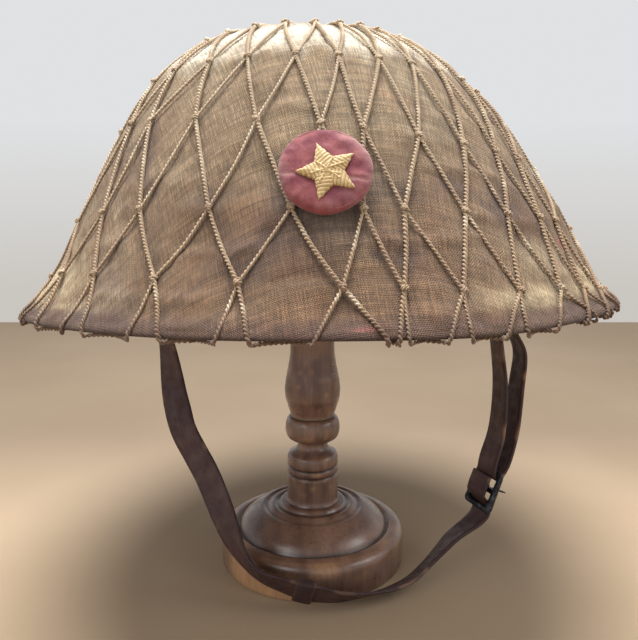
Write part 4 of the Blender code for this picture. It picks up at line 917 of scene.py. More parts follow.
def cords(name, turn, length, lift, thick, finish):
    """Cords along paths given by control turns and lengths: cords by points, thick one per cord."""
    count, marks = turn.shape
    longest = np.linalg.norm(np.diff(net_path(turn, length, lift), axis=1), axis=-1).sum(1).max()
    steps = max(8, int(longest / CORD_SPACING))
    where = np.linspace(0, marks - 1, steps)
    base = np.minimum(where.astype(int), marks - 2)
    line = np.stack((turn, length), axis=-1)
    first, last = 2 * line[:, :1] - line[:, 1:2], 2 * line[:, -1:] - line[:, -2:-1]
    padded = np.concatenate((first, line, last), axis=1)
    line = cubic(*(padded[:, base + i] for i in range(4)), (where - base)[None, :, None])
    way_turn, way_length = line[..., 0], line[..., 1]
    paths = net_path(way_turn, way_length, lift)
    normals = net_normals(way_turn, way_length)
    gone = metres_gone(paths)
    phase = RANDOM.uniform(0, math.pi, count)
    along = gone / gone[:, -1:]
    uneven = 1 + 0.10 * lumps(gone * 60 + phase[:, None] * 9, phase[:, None] + 0 * gone, 1.0, 31)
    ends = np.clip(np.minimum(along, 1 - along) * gone[:, -1:] / 0.0006, 0.25, 1)
    shape, groove_shade = twisted(gone, thick[:, None] * uneven * ends, phase)
    points, quads, caps = tubes(paths, normals, shape)
    uv = np.stack(np.broadcast_arrays(gone[:, :, None], cord_round(shape.shape[2])), -1)
    browned = np.clip(1.05 - height_at(way_length) / 0.5, 0, 1)[:, :, None]
    browned = np.broadcast_to(browned, groove_shade.shape)
    # Dirt and painted shade: darker within about a centimetre of the rim's corner and under the rim.
    dirt_and_rim_shade = np.broadcast_to(np.clip(1 - (way_length - 0.0015) / 0.0100, 0, 1)[:, :, None], groove_shade.shape)
    return piece(name, points, quads, finish, (), caps, uv,
                 {"groove_shade": groove_shade, "browned": browned, "dirt_and_rim_shade": dirt_and_rim_shade})


# Where the cords of the lowest row cross the rim at the front: turns of each knot's two cords.
RIM_CROSSINGS = {2: (-25.6, -20.7), 1: (-39.5, -34.4), 3: (-12.8, -8.6), 4: (-0.4, 8.5), 5: (10.0, 11.2),
                 6: (16.7, 19.8), 7: (25.4, 28.8)}


def over_the_rim(turn_a, length_a, turn_b, length_b, side):
    """Control turns and reaches of the lowest cords: down to the rim, along its corner, under, up."""
    crossings = {}
    for end in (-0.5, 0.5):
        cross = turn_a + end * 0.72 * abs(turn_b - turn_a).mean() * 2
        for knot, pair in RIM_CROSSINGS.items():
            cross[knot] = math.radians(pair[0 if end < 0 else 1])
        crossings[end] = cross
    cross = crossings[side]
    beside = np.roll(crossings[-side], -1 if side > 0 else 1)
    gap = short_way(beside - cross)
    gap = np.where(gap * side > 0, gap, 0.0)
    way = cross - turn_a
    turn = np.stack((turn_a, turn_a + 0.5 * way, turn_a + 0.97 * way, cross + 0.12 * gap, cross + 0.38 * gap,
                     cross + 0.5 * gap, turn_b), axis=1)
    marks = np.array((0.55, 0.0, 0.0, 0.0, 0.0, 0.0))
    low = np.array((0.0, 0.0006, -0.0022, -0.0042, -0.80 * UNDER_WAY, 0.0))
    reach = np.concatenate((length_a[:, None], length_a[:, None] * marks + low), axis=1)
    reach[:, -1] = length_b
    return turn, reach


def net(finish):
    """The net's cords row by row, the gathered top, and the knots."""
    chart = net_chart()
    for row, side, turn_a, length_a, turn_b, length_b in net_stretches(chart):
        thick = RANDOM.uniform(0.92, 1.06, MESHES_AROUND)
        leaning = np.where(off_turn(turn_a, 10) < 0, side, -side)
        thick = thick * np.where(leaning > 0, 1.0, 0.80)
        marks = np.linspace(0, 1, 5)[None, :]
        turn = turn_a[:, None] + (turn_b - turn_a)[:, None] * marks
        length = length_a[:, None] + (length_b - length_a)[:, None] * marks
        if row == len(chart) - 2:
            turn, length = over_the_rim(turn_a, length_a, turn_b, length_b, side)
        else:
            bow = RANDOM.uniform(-1, 1, (MESHES_AROUND, 1)) * np.array((0, 0.6, 1.0, 0.6, 0)) * 0.0009
            turn = turn + bow / local_radius(turn, length)
        side_name = "left" if side < 0 else "right"
        cords(f"net_row_{row + 1}_{side_name}", turn, length, NET_LIFT, thick, finish)
    crown(chart[0], finish)
    knots(chart, finish)


def crown(row, finish):
    """Two cords side by side from each top knot to a ring of cord round the middle of the crown."""
    _, turns, lengths = row
    even = turns[0] + np.arange(MESHES_AROUND) * TURN / MESHES_AROUND
    even = turns + short_way(even - turns)
    ring = BELL_LENGTH - CROWN_RING_RADIUS - RIM_START
    for side in (-1, 1):
        marks = np.linspace(0, 1, 4)[None, :]
        turn = turns[:, None] + (even - turns)[:, None] * marks
        length = lengths[:, None] + (ring - lengths)[:, None] * marks
        apart = side * np.array((0.0004, 0.0012, 0.0013, 0.0010)) / local_radius(turn, length)
        thick = RANDOM.uniform(0.86, 0.98, MESHES_AROUND)
        cords(f"net_crown_{'left' if side < 0 else 'right'}", turn + apart, length, NET_LIFT, thick, finish)
    round_turns = np.linspace(0, TURN, 49)[None, :]
    for name, out, lift in (("outer", 0.0, 0.0012), ("inner", 0.0018, 0.0008)):
        wobble = 0.0005 * np.sin(round_turns * 7) + 0.0003 * np.sin(round_turns * 11 + 1)
        wobble = wobble * np.sin(round_turns / 2) ** 2
        cords(f"net_ring_{name}", round_turns, ring + out + wobble, lift, np.array((RING_CORD_THICKNESS,)),
              finish)


def knots(chart, finish):
    """Each knot: a cord wound twice round the two that meet, a flattened coil that stands on the cloth.

    The coil's side is a cosine and its rise a raised sine of the angle; it climbs with the angle.
    """
    turns = np.concatenate([row[1] for row in chart])
    lengths = np.concatenate([row[2] for row in chart])
    count = len(turns)
    steps, sides = 36, 8
    angle = np.linspace(-0.3, 2.2, steps)[None, :] * TURN + RANDOM.uniform(-0.5, 0.5, (count, 1))
    wide = RANDOM.uniform(0.00080, 0.00105, (count, 1))
    climb = np.linspace(-1, 1, steps)[None, :] * RANDOM.uniform(0.0006, 0.0010, (count, 1))
    slant = RANDOM.uniform(-0.75, 0.75, (count, 1))
    swing = RANDOM.uniform(-0.5, 0.5, (count, 1))
    across, along = wide * np.cos(angle), climb + slant * wide * np.cos(angle)
    u, v = across * np.cos(swing) - along * np.sin(swing), across * np.sin(swing) + along * np.cos(swing)
    rise = 0.0007 + 0.0008 * (1 + np.sin(angle)) * RANDOM.uniform(0.65, 0.95, (count, 1))
    turn, length = turns[:, None], lengths[:, None]
    here = net_path(turn, length, 0.0)
    right = unit(net_path(turn + 0.002, length, 0.0) - net_path(turn - 0.002, length, 0.0))
    up = unit(net_path(turn, length + 0.0005, 0.0) - net_path(turn, length - 0.0005, 0.0))
    out = net_normals(turn, length)
    paths = here + u[..., None] * right + v[..., None] * up + rise[..., None] * out
    middle = here + v[..., None] * up + 0.0013 * out
    gone = metres_gone(paths)
    ends = np.clip(np.minimum(np.arange(steps), steps - 1 - np.arange(steps)) / 2, 0.3, 1)
    thick = ends[None, :] * RANDOM.uniform(0.66, 0.84, (count, 1))
    shape, groove_shade = twisted(gone, thick, RANDOM.uniform(0, math.pi, count), sides)
    points, quads, caps = tubes(paths, unit(paths - middle), shape)
    apart = gone[:, :, None] + np.arange(count)[:, None, None] * 0.1
    uv = np.stack(np.broadcast_arrays(apart, cord_round(sides)), -1)
    browned = np.clip(0.95 - height_at(lengths) / 0.55, 0, 1)[:, None, None]
    browned = np.broadcast_to(browned, groove_shade.shape)
    return piece("net_knots", points, quads, finish, ("cord_net",), caps, uv,
                 {"groove_shade": groove_shade, "browned": browned, "dirt_and_rim_shade": np.zeros(groove_shade.shape)})


# Badge

def badge_axes():
    """The badge's middle on the cloth, its right, its up and its outward direction."""
    length = length_at_height(BADGE_HEIGHT_SHARE)
    here, above = (bell_point(BADGE_TURN, length + up, -BADGE_LIFT) for up in (0.0, 0.00128))
    left, right = (bell_point(BADGE_TURN + aside, length, -BADGE_LIFT) for aside in (-0.01, 0.01))
    right = right - left
    up = above - here
    out = unit(np.cross(right, up))
    right = unit(right)
    up = np.cross(out, right)
    lean, back = math.cos(BADGE_UPRIGHT), math.sin(BADGE_UPRIGHT)
    return here, right, lean * up + back * out, lean * out - back * up


def disc_height(radius):
    radii, heights = np.array(DISC_OUTLINE[3:])[::-1].T
    return np.interp(radius, radii * BADGE_RADIUS, heights * BADGE_THICKNESS)


def badge(cloth, silk):
    """A padded disc under cloth, pleated at its edge and creased across, and the embroidered star."""
    here, right, up, out = badge_axes()
    profile = smooth_line(DISC_OUTLINE, 6)[:-1] * (BADGE_RADIUS, BADGE_THICKNESS)
    sides = 144
    around = np.arange(sides) * TURN / sides
    radius, height = profile[:, :1], profile[:, 1:]
    edge = np.clip(radius / BADGE_RADIUS, 0, 1) ** 6
    pleat = np.sin(around * 17 + 1.5 * np.sin(around * 3)) * 0.5 + np.sin(around * 29 + 2) * 0.35
    rim = 1 + 0.010 * np.sin(around * 3 + 1) + 0.006 * np.sin(around * 7)
    x, y = radius * rim * np.cos(around), radius * rim * np.sin(around)
    z = height + 0.00022 * pleat * edge * (height > 0.001)
    crease = np.exp(-((y + 0.0030 + 0.10 * x) / 0.0007) ** 2) * (np.abs(x) < 0.0155)
    swell = 0.00035 * lumps(x + 1, 1.6 * y + 1, 190, 41)
    z = z + (swell - 0.00035 * crease) * (height > 0.0026)
    points = here + x[..., None] * right + y[..., None] * up + z[..., None] * out
    low = np.clip((-y / BADGE_RADIUS - 0.45) * 1.6, 0, 1) * edge
    faded = 0.5 * edge * (0.5 + 0.5 * pleat) + 0.5 * crease + 0.5 * lumps(x + 1, y + 1, 150, 42)
    faded = np.clip(faded - 0.12, 0, 1)
    piece("badge_padded_disc", points, grid_quads(len(profile), sides), cloth,
          ("badge_disc",), end_caps(len(profile), sides), values={"faded": faded, "soiled": low})
    star(here, right, up, out, silk)


def star(here, right, up, out, silk):
    """Five arms of satin stitch: each point is a share of the way from the middle to the outline.

    The outline's radius goes straight in the plane from tip to waist. The stitches rise as a rounded
    pad over the disc, ribbed across the threads, which run along each arm. Four threads tie them.
    """
    sides, rings = 400, 26
    around = np.arange(sides) * TURN / sides
    arm = (around - STAR_TWIST - math.pi / 2) % (TURN / 5)
    arm = np.minimum(arm, TURN / 5 - arm)
    half = math.pi / 5
    tip = np.array((STAR_RADIUS, 0.0))
    waist = STAR_WAIST * np.array((math.cos(half), math.sin(half)))
    normal = np.array((waist[1] - tip[1], tip[0] - waist[0]))
    reach = normal @ tip / (normal[0] * np.cos(arm) + normal[1] * np.sin(arm))
    reach = reach * (1 + 0.020 * np.sin(around * 31) + 0.015 * np.sin(around * 53 + 1))
    share = np.linspace(0, 1, rings)[:, None] ** 0.8
    share[0] = 0.01
    radius = share * reach
    from_axis = (around - STAR_TWIST - math.pi / 2 + half) % (TURN / 5) - half
    along_arm = radius * np.cos(from_axis) + 0.45 * radius * np.sin(from_axis)
    pad = 0.00085 * (1 - share ** 4) ** 0.6
    threads = np.abs(np.sin(along_arm * math.pi / STITCH_LENGTH))
    x = radius * np.cos(around) + STAR_PLACE[0]
    y = radius * np.sin(around) + STAR_PLACE[1]
    from_middle = np.hypot(x, y)
    ties = np.zeros_like(x)
    for slope, offset, half_long in STAR_TIES:
        line = np.abs(y - slope * x - offset) / math.hypot(1, slope)
        ties = np.maximum(ties, np.exp(-(line / 0.00030) ** 2) * (radius < half_long))
    z = disc_height(from_middle) + 0.0004 + pad + 0.00022 * threads * (share < 0.99) + 0.00035 * ties
    top = here + x[..., None] * right + y[..., None] * up + z[..., None] * out
    z_low = disc_height(from_middle[-1]) - 0.0001
    low = here + x[-1][:, None] * right + y[-1][:, None] * up + z_low[:, None] * out
    points = np.concatenate((top.reshape(-1, 3), low))
    quads = grid_quads(rings + 1, sides)[:, ::-1]
    caps = [cap[::-1] for cap in end_caps(rings + 1, sides)]
    # How high the stitches and ties lie, used for painted shade between the stitches and painted light on
    # top.
    thread = np.concatenate((np.maximum(threads * 0.9, ties).reshape(-1), np.zeros(sides)))
    piece("badge_embroidered_star", points, quads, silk, ("badge_star",), caps,
          values={"thread": thread})


# Chin strap

def face_normal(along, angle):
    """Normal of a strap that runs along a direction, turned by an angle from facing the viewer."""
    ahead = unit(TOWARDS_VIEWER - np.dot(TOWARDS_VIEWER, along) * along)
    return math.cos(angle) * ahead + math.sin(angle) * np.cross(along, ahead)


def half_turn(bar, bar_radius, side, over):
    """Middles of a strap that turns round a bar, from one side of it over the top to the other."""
    radius = bar_radius + GAP + STRAP_THICKNESS / 2
    angles = np.linspace(0, math.pi, TURN_POINTS)[:, None]
    return bar + radius * (np.cos(angles) * side + np.sin(angles) * over)


def anchor_place(place):
    """Middle, width direction and outward direction of a frame on the helmet's inner wall."""
    turn, length = math.radians(place[0]), length_at_height(place[1])
    on_wall = bell_point(turn, length, SHELL_INSIDE + GAP)
    ahead = bell_point(turn + 0.01, length, SHELL_INSIDE) - bell_point(turn - 0.01, length, SHELL_INSIDE)
    width = unit(ahead * (1, 1, 0) * (-1 if place[0] < 0 else 1))
    out = on_wall * (1, 1, 0)
    out = unit(out - np.dot(out, width) * width)
    return on_wall - out * (ANCHOR_DEPTH / 2 + ANCHOR_ROD / 2 + FACET_SAG), width, out


def buckle_seat(right_bar):
    """Middle and axes of the buckle, hung from the right frame."""
    share, ahead, rise, face = BUCKLE_PLACE
    middle = np.array((share * right_bar[0], -ahead * RING_OUT, rise * RIM_HEIGHT))
    up = unit(np.array(BUCKLE_RISE))
    out = face_normal(up, math.radians(face))
    half = BUCKLE_LENGTH / 2 - BAR_WIDTH / 2
    return {"middle": middle, "up": up, "out": out, "across": np.cross(up, out), "reach": right_bar[0],
            "lower": middle - up * half, "upper": middle + up * half}


def strap_line(left_bar, left_out, left_width, seat):
    """Middles and width directions of the chin strap, its turned-back ends included."""
    start = half_turn(left_bar, ANCHOR_ROD * math.sqrt(0.5), left_out, UP)
    middles = [*(start[0] - np.outer((1.0, 0.5), UP) * TURN_BACK), *start]
    widths = [left_width] * len(middles)
    table = np.array(STRAP_STATIONS)
    reach = np.where(table[:, 0] < 0, abs(left_bar[0]), seat["reach"])
    stations = np.stack((reach * table[:, 0] + table[:, 1] * RING_OUT, -table[:, 2] * RING_OUT,
                         table[:, 3] * RIM_HEIGHT + table[:, 4] * STRAP_WIDTH), -1)
    whole = np.vstack((left_bar, stations, seat["lower"]))
    along = unit(whole[2:] - whole[:-2])
    for direction, station, face in zip(along, stations, table[:, 5]):
        middles.append(station)
        widths.append(np.cross(direction, face_normal(direction, math.radians(face))))
    rise, outside = (column[:, None] for column in np.array(THREADED_END).T)
    end = seat["middle"] + rise * BUCKLE_LENGTH * seat["up"] + outside * BAR_WIDTH * seat["out"]
    middles += [*end]
    widths += [seat["across"]] * len(end)
    return np.array(middles), np.array(widths)


def doubled_line(right_bar, right_out, right_width, seat):
    """Middles and width directions of the closed band between the right frame and the buckle."""
    low = half_turn(seat["upper"], BAR_WIDTH * math.sqrt(0.5), seat["out"], -seat["up"])
    high = half_turn(right_bar, ANCHOR_ROD * math.sqrt(0.5), -right_out, UP)
    way = np.linalg.norm(right_bar - seat["upper"])
    share, bow_in, bow_out = (column[:, None] for column in np.array(DOUBLED_STATIONS).T)
    side = unit((1 - share) * seat["out"] + share * right_out)
    inner = (1 - share) * low[-1] + share * high[0] + side * bow_in * way
    outer = (1 - share) * low[0] + share * high[-1] + side * bow_out * way
    between = (1 - share) * seat["across"] + share * right_width
    at_buckle, at_frame = (np.tile(axis, (TURN_POINTS, 1)) for axis in (seat["across"], right_width))
    widths = np.vstack((at_buckle, between, at_frame, between[::-1]))
    return np.vstack((low, inner, high, outer[::-1])), widths


def even_line(rows, steps):
    """A smooth curve through rows at uneven spaces: each slope leans towards the shorter stretch."""
    ways = np.diff(rows, axis=0)
    gaps = np.linalg.norm(ways, axis=1)[:, None]
    speeds = ways / gaps
    inner = (speeds[:-1] * gaps[1:] + speeds[1:] * gaps[:-1]) / (gaps[:-1] + gaps[1:])
    slopes = np.vstack((speeds[:1], inner, speeds[-1:]))
    share = (np.arange(steps) / steps)[None, :, None]
    smooth = eased(share)
    leave, arrive = share * (1 - share) ** 2, share ** 2 * (share - 1)
    line = (rows[:-1, None] * (1 - smooth) + rows[1:, None] * smooth
            + (slopes[:-1, None] * leave + slopes[1:, None] * arrive) * gaps[:, None])
    return np.vstack((line.reshape(-1, 3), rows[-1:]))


def strap_frames(middles, widths, steps, closed=False):
    """Points along a strap with its width direction and its normal at each."""
    if closed:
        middles, widths = (np.vstack((a[-1:], a, a[:2])) for a in (middles, widths))
    line, across = even_line(middles, steps), smooth_line(widths, steps)
    if closed:
        line, across = line[steps:-steps - 1], across[steps:-steps - 1]
        along = unit(np.roll(line, -1, axis=0) - np.roll(line, 1, axis=0))
    else:
        along = unit(np.gradient(line, axis=0))
    across = unit(across - (across * along).sum(-1, keepdims=True) * along)
    return line, across, np.cross(across, along)


def strap_section():
    """A strap's outline in shares of its half width and half thickness: flat faces, rounded edges."""
    flat = np.linspace(0.93, -0.93, 9)
    face = np.stack((flat, 1.0 - 0.10 * np.exp(-((np.abs(flat) - 0.80) / 0.07) ** 2)), axis=-1)
    bend = np.radians((50, 20, 0, -20, -50))
    edge = np.stack((-0.93 - 0.07 * np.cos(bend), np.sin(bend)), axis=-1)
    half = np.vstack((face, edge))
    return np.vstack((half, -half))


def strap(name, middles, widths, finish, stands_for, closed=False, seed=1, turned=lambda way: 0 * way):
    """A flat leather strap carried along its line, its edges slightly uneven, its face gently cupped."""
    line, across, normal = strap_frames(middles, widths, 12, closed)
    section = strap_section()
    way = metres_gone(line)[:, None]
    side, face = section[None, :, 0], section[None, :, 1]
    uneven = 1 + 0.022 * lumps(way * 60, np.sign(side) + 2 + 0 * way, 1.0, seed)
    cup = 0.00012 * lumps(way * 90, 0 * way, 1.0, seed + 1) * (side ** 2 - 0.4)
    half_width, half_thick = STRAP_WIDTH / 2 * uneven, STRAP_THICKNESS / 2
    points = (line[:, None] + (side * half_width)[..., None] * across[:, None]
              + (face * half_thick + cup)[..., None] * normal[:, None])
    grid = len(line), len(section)
    quads = closed_quads(*grid) if closed else grid_quads(*grid)
    caps = [] if closed else end_caps(*grid)
    at_edge = (np.abs(side) > 0.9) * np.ones_like(way)
    worn = np.clip(lumps(way * 160, side * 2 + 3, 1.0, seed + 2) * 1.6 - 0.55, 0, 1) * (np.abs(side) > 0.8)
    inner = np.where(face < 0, 1 - turned(way), turned(way))
    uv = np.stack(np.broadcast_arrays(way, side * STRAP_WIDTH / 2 + (face < 0) * 0.1), -1)
    return piece(name, points, quads, finish, stands_for, caps, uv,
                 {"inner": inner * (1 - at_edge), "edge": 0.5 * at_edge * (1 - worn), "wear": 0.7 * worn}, 60)


def keeper(middles, widths, finish):
    """The leather loop round the strap: a closed wall carried a short way along the strap's line."""
    steps = 24
    line, across, normal = strap_frames(middles, widths, steps)
    lengths = metres_gone(line)
    middle = lengths[(KEEPER_STATION + TURN_POINTS + 2) * steps] + KEEPER_SHIFT
    shares = np.concatenate((np.linspace(-0.5, 0.5, 13), np.linspace(0.5, -0.5, 5)))
    outer = np.arange(len(shares)) < 13
    wall = np.where(outer, KEEPER_WALL * (1 - (2 * np.abs(shares)) ** 10 * 0.30), 0.0)
    at = middle + shares * KEEPER_LENGTH * np.where(outer, 1.0, 0.98)
    line, across, normal = (np.stack([np.interp(at, lengths, a[:, k]) for k in range(3)], -1)
                            for a in (line, across, normal))
    corner = np.radians(np.linspace(0, 90, 5))
    angle = np.concatenate([math.pi / 2 * quarter + corner for quarter in range(4)])
    sign_x, sign_y = np.repeat((1, -1, -1, 1), 5), np.repeat((1, 1, -1, -1), 5)
    half_wide, half_thick = (size / 2 + GAP - KEEPER_BEND for size in (STRAP_WIDTH, STRAP_THICKNESS))
    far = (KEEPER_BEND + wall)[:, None]
    x = sign_x * half_wide + far * np.cos(angle)
    y = sign_y * half_thick + far * np.sin(angle)
    points = line[:, None] + x[..., None] * across[:, None] + y[..., None] * normal[:, None]
    uv = np.stack(np.broadcast_arrays(at[:, None], angle * 0.003), -1)
    end = (np.abs(shares)[:, None] > 0.40) * np.ones_like(x)
    return piece("strap_loop_keeper", points, closed_quads(*x.shape), finish,
                 ("strap_keeper",), (), uv, {"inner": 0 * x, "edge": 0.5 + 0 * x, "wear": 0.10 * end}, 50)


def bar_loop(half_width, half_height, bend, steps=10):
    """A closed line round a rectangle with rounded bends, in two dimensions."""
    corners = np.array(((1, 1), (-1, 1), (-1, -1), (1, -1))) * (half_width, half_height)
    before, after = np.roll(corners, 1, axis=0), np.roll(corners, -1, axis=0)
    inwards, outwards = unit(before - corners), unit(after - corners)
    share = np.linspace(0, math.pi / 2, steps)[None, :, None]
    centre = corners + (inwards + outwards) * bend
    arc = centre[:, None] - bend * (outwards[:, None] * np.cos(share) + inwards[:, None] * np.sin(share))
    return arc.reshape(-1, 2)


def rounded_square(angle, power):
    """A square with rounded corners, as shares of its half width: across and up at each angle."""
    c, s = np.cos(angle), np.sin(angle)
    far = (np.abs(c) ** power + np.abs(s) ** power) ** (-1 / power)
    return far * c, far * s


def rod_frame(points, normals, half_wide, half_thick, power=3.0, sides=16):
    """A closed rod: a rounded square section carried round a closed line."""
    along = unit(np.roll(points, -1, axis=0) - np.roll(points, 1, axis=0))
    side = np.cross(along, normals)
    x, y = rounded_square(np.arange(sides) * TURN / sides, power)
    rod = (points[:, None] + (half_wide * x)[:, None] * side[:, None]
           + (half_thick * y)[:, None] * normals[:, None])
    return rod.reshape(-1, 3), closed_quads(len(points), sides)[:, ::-1]


def straight_rod(start, end, normal, half_wide, half_thick, sides=16, steps=9):
    """A straight rod with a rounded square section."""
    path = start + np.linspace(0, 1, steps)[:, None] * (end - start)
    x, y = rounded_square(np.arange(sides) * TURN / sides, 3)
    shape = np.stack((half_wide * x, half_thick * y), axis=-1)[None, None] * np.ones((1, steps, 1, 1))
    return tubes(path[None], np.broadcast_to(normal, (1, steps, 3)), shape)


def anchor_frame(name, node, place, finish):
    """A plain wire frame that stands in from the helmet's inner wall."""
    middle, width, out = anchor_place(place)
    half_width = STRAP_WIDTH / 2 + ANCHOR_ROD / 2 + GAP / 2
    half_depth = ANCHOR_DEPTH / 2 - ANCHOR_ROD / 2
    flat = bar_loop(half_width, half_depth, 0.0016)
    points = middle + flat[:, :1] * width + flat[:, 1:] * out
    up = unit(np.cross(width, out))
    rod, quads = rod_frame(points, np.broadcast_to(up, points.shape), ANCHOR_ROD / 2, ANCHOR_ROD / 2, 2.2, 12)
    piece(name, rod, quads, finish, (node,))
    return middle - out * half_depth, width, out


def buckle(seat, finish):
    """The buckle's frame with its middle bar, lobed at its lower corners, and the prong on the bar."""
    middle, up, out, across = (seat[k] for k in ("middle", "up", "out", "across"))
    half_width = STRAP_WIDTH / 2 + GAP + BAR_WIDTH / 2
    half = BUCKLE_LENGTH / 2 - BAR_WIDTH / 2
    flat = bar_loop(half_width, half, 0.0022, 14)
    points = middle + flat[:, :1] * across + flat[:, 1:] * up
    lobe = 1 + 0.55 * np.exp(-((np.abs(flat[:, 0]) - half_width) / 0.0022) ** 2
                             - ((flat[:, 1] + half) / 0.0026) ** 2)
    rod, quads = rod_frame(points, np.broadcast_to(out, points.shape), BAR_WIDTH / 2, BAR_WIDTH / 2)
    rod = rod.reshape(len(points), -1, 3)
    rod = points[:, None] + (rod - points[:, None]) * lobe[:, None, None]
    bar, bar_quads, caps = straight_rod(middle - across * half_width, middle + across * half_width, out,
                                        BAR_WIDTH / 2, BAR_WIDTH / 2)
    count = rod.shape[0] * rod.shape[1]
    points, quads = np.concatenate((rod.reshape(-1, 3), bar)), np.concatenate((quads, bar_quads + count))
    piece("buckle_frame", points, quads, finish, ("strap_buckle",),
          [cap + count for cap in caps], angle=50)

    reach = BAR_WIDTH / 2 + GAP + PRONG_WIDTH * 0.35
    loop = reach * np.stack(rounded_square(np.radians(np.linspace(-25, -338, 40)), 4), axis=-1)
    tongue = np.linspace(reach * 1.15, BAR_WIDTH / 2 + GAP + PRONG_WIDTH * 0.7 + PRONG_REACH, 30)
    tip = np.stack((tongue, 0.0003 * np.sin((tongue - reach) / PRONG_REACH * math.pi)), axis=-1)
    flat = np.vstack((loop, tip))
    path = middle + flat[:, :1] * out + flat[:, 1:] * up
    thinner = np.interp(tongue, (tongue[0], tongue[-6], tongue[-1]), (1.0, 0.85, 0.40))
    taper = np.concatenate((np.ones(len(loop)), thinner))
    angle = np.arange(12) * TURN / 12
    shape = np.stack((PRONG_WIDTH * 0.36 * np.cos(angle), PRONG_WIDTH / 2 * np.sin(angle)), axis=-1)
    shape = shape[None, None] * taper[None, :, None, None]
    points, quads, caps = tubes(path[None], np.broadcast_to(across, (1, len(path), 3)), shape)
    piece("buckle_tongue", points, quads, finish, ("buckle_prong",), caps)


def chin_strap(leather, metal):
    """The strap's loop: left frame, strap, buckle and the doubled strap to the right frame."""
    left_bar, left_width, left_out = anchor_frame(
        "strap_frame_left", "strap_anchor_left", LEFT_FRAME_PLACE, metal)
    right_bar, right_width, right_out = anchor_frame(
        "strap_frame_right", "strap_anchor_right", RIGHT_FRAME_PLACE, metal)
    seat = buckle_seat(right_bar)
    middles, widths = strap_line(left_bar, left_out, left_width, seat)
    strap("chin_strap_leather", middles, widths, leather, ("chin_strap",), seed=51,
          turned=lambda way: np.clip((way - 0.245) / 0.03, 0, 1))
    keeper(middles, widths, leather)
    middles, widths = doubled_line(right_bar, right_out, right_width, seat)
    strap("doubled_strap_leather", middles, widths, leather, ("buckle_strap",), closed=True, seed=61)
    buckle(seat, metal)


# Stand

def turned(name, outline, sides, finish, stands_for, worn, groove_shade):
    """A lathed piece: an outline of radius and height carried round the upright axis."""
    angles = np.arange(sides) * TURN / sides
    radius, height = outline[:, :1], outline[:, 1:]
    points = np.stack(np.broadcast_arrays(radius * np.cos(angles), radius * np.sin(angles), height), axis=-1)
    values = {"worn": worn(radius, height, angles), "groove_shade": groove_shade(radius, height, angles)}
    return piece(name, points, grid_quads(len(outline), sides), finish, stands_for,
                 end_caps(len(outline), sides), values=values, angle=40)


def filled_outline(rows, spacing):
    """Points every short way along an outline's straight stretches, its own points kept."""
    rows = np.asarray(rows, float)
    sizes = np.maximum(1, np.round(np.linalg.norm(np.diff(rows, axis=0), axis=1) / spacing).astype(int))
    parts = [a + (b - a) * np.arange(n)[:, None] / n for a, b, n in zip(rows, rows[1:], sizes)]
    return np.vstack(parts + [rows[-1:]])


def stand(finish):
    """The turned foot, and the column with the head that carries the crown from inside."""
    base = filled_outline(np.array(BASE_OUTLINE)[1:-1] * (BASE_RADIUS, BASE_HEIGHT), 0.0009)

    def base_worn(radius, height, angles):
        patches = lumps(angles / TURN * 64, radius * 500, 0.5, 71) * 1.5 - 0.2
        # A lighter band along the flange's top edge: wear, and a painted highlight.
        edge = np.exp(-((height - 0.597 * BASE_HEIGHT) / 0.0012) ** 2) * (radius > 0.045)
        shelf = (radius > 0.040) * (radius < 0.0484) * (height > 0.013)
        side = (radius > 0.047) * (height < 0.0165)
        degrees = np.degrees(angles)
        left = np.exp(-((degrees - 238) / 30) ** 4) * np.clip((0.0145 - height) / 0.003, 0, 1)
        low = 0.6 * np.clip(patches, 0, 1) * shelf + 0.25 * edge
        spots_low = np.clip(lumps(angles / TURN * 40, height * 200, 1.0, 72), 0, 1)
        rubbed = sum(strength * np.exp(-((degrees - turn) / wide) ** 4 - ((height - at) / tall) ** 4)
                     for turn, wide, at, tall, strength in RUBBED_PATCHES) * (radius > 0.040)
        return np.clip(0.05 + low + rubbed + side * (0.25 * spots_low + 0.85 * left), 0, 1)

    # Painted shade in the foot's two turned grooves.
    def base_groove_shade(radius, height, angles):
        cut = np.exp(-((radius - 0.0395) / 0.0007) ** 2) * (height > 0.016)
        return cut + np.exp(-((radius - 0.0186) / 0.0006) ** 2) + 0 * angles

    turned("turned_foot", base, 160, finish, ("stand_base",), base_worn, base_groove_shade)

    foot = BASE_HEIGHT + GAP
    shaft = np.array(COLUMN_OUTLINE)[1:] * (COLUMN_RADIUS, TURNED_HEIGHT) + (0, foot)
    turns = np.linspace(0, TURN, 73)[None, :]
    inner = bell_point(turns, np.linspace(0.5, 1.0, 60)[:, None] * BELL_LENGTH, SHELL_INSIDE).reshape(-1, 3)
    radii = np.hypot(inner[:, 0], inner[:, 1])
    head = np.array(HEAD_OUTLINE) * (HEAD_RADIUS, HEAD_HEIGHT)
    dome = head[2:][::-1]
    near = radii <= HEAD_RADIUS
    bottom = (inner[near, 2] - np.interp(radii[near], dome[:, 0], dome[:, 1])).min() - GAP - 0.0004
    top = smooth_line(head, 6)[:-1] + (0, bottom)
    top = filled_outline(np.vstack((shaft[-1:], top)), 0.004)[1:]
    column = np.vstack((filled_outline(shaft, 0.0012), top))

    def column_worn(radius, height, angles):
        return 0.5 * np.clip(lumps(angles / TURN * 24, height * 260, 1.0, 73) * 1.4 - 0.5, 0, 1)

    # Painted shade in the column's grooves.
    def column_groove_shade(radius, height, angles):
        share = (height - foot) / TURNED_HEIGHT
        cut = sum(np.exp(-((share - at) / 0.006) ** 2) for at in COLUMN_GROOVES)
        return np.clip(cut, 0, 1) + 0 * angles

    turned("turned_column", column, 96, finish, ("stand_column",), column_worn, column_groove_shade)


# The whole, the floor, the light and the camera

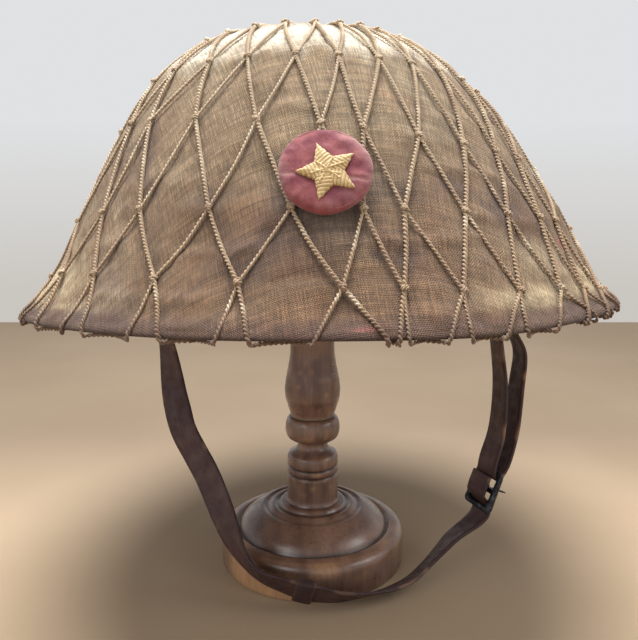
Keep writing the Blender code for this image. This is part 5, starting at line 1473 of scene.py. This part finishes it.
def floor():
    """A plain tabletop, paler in front by a painted falloff of the light, that ends behind the stand."""
    f = Finish("tabletop", Roughness=0.75)
    patches = f.between(f.noise(f.place, 6.0, 3.0), 0.3, 0.7)
    colour = f.mix(patches, (0.305, 0.220, 0.138), (0.335, 0.246, 0.160))
    # Painted light: the floor darkens from the front towards the back.
    finish = f.done(f.shade(colour, f.between(f.axis(f.place, 1), -0.08, 0.22, 1.24, 0.60)))
    mesh = bpy.data.meshes.new("tabletop")
    mesh.from_pydata([(-1.5, -1.2, 0), (1.5, -1.2, 0), (1.5, 0.71, 0), (-1.5, 0.71, 0)], [], [(0, 1, 2, 3)])
    mesh.materials.append(finish)
    made = bpy.data.objects.new("tabletop", mesh)
    bpy.context.scene.collection.objects.link(made)


def lamp(name, place, aim, size, watts):
    data = bpy.data.lights.new(name, "AREA")
    data.shape = "DISK"
    data.size = size
    data.energy = watts
    made = bpy.data.objects.new(name, data)
    made.location = place
    made.rotation_euler = (Vector(aim) - Vector(place)).to_track_quat("-Z", "Y").to_euler()
    bpy.context.scene.collection.objects.link(made)


def light_and_camera():
    """A room that darkens upwards, whose wall is paler above, the lamps, and the viewer's camera."""
    scene = bpy.context.scene
    world = bpy.data.worlds.new("pale_room")
    scene.world = world
    world.use_nodes = True
    tree = world.node_tree
    ways = tree.nodes.new("ShaderNodeSeparateXYZ")
    tree.links.new(tree.nodes.new("ShaderNodeTexCoord").outputs["Generated"], ways.inputs[0])
    falls = tree.nodes.new("ShaderNodeMapRange")
    for key, value in ((1, 0.28), (2, 0.50), (3, 1.0), (4, 0.42)):
        falls.inputs[key].default_value = value
    tree.links.new(ways.outputs[2], falls.inputs[0])
    tree.links.new(falls.outputs[0], tree.nodes["Background"].inputs["Strength"])
    rises = tree.nodes.new("ShaderNodeMapRange")
    rises.inputs[1].default_value, rises.inputs[2].default_value = -0.12, 0.10
    tree.links.new(ways.outputs[2], rises.inputs[0])
    wall = tree.nodes.new("ShaderNodeMix")
    wall.data_type = "RGBA"
    wall.inputs[6].default_value, wall.inputs[7].default_value = WALL_LOW, WALL_HIGH
    tree.links.new(rises.outputs[0], wall.inputs[0])
    tree.links.new(wall.outputs[2], tree.nodes["Background"].inputs["Color"])
    for row in LAMPS:
        lamp(*row)
    scene.view_settings.view_transform = "Standard"
    data = bpy.data.cameras.new("viewer")
    data.lens = CAMERA_LENS
    data.sensor_width = 36.0
    data.clip_start = 0.01
    made = bpy.data.objects.new("viewer", data)
    made.location = CAMERA_PLACE
    made.rotation_euler = (CAMERA_PITCH, 0, 0)
    scene.collection.objects.link(made)
    scene.camera = made


stretches = net_stretches(net_chart())
cover(stretches, woven_cloth())
shell(pale_pith())
net(two_ply_cord())
badge(badge_cloth(), satin_stitch())
chin_strap(strap_leather(), dark_metal())
stand(stained_wood())
floor()
light_and_camera()
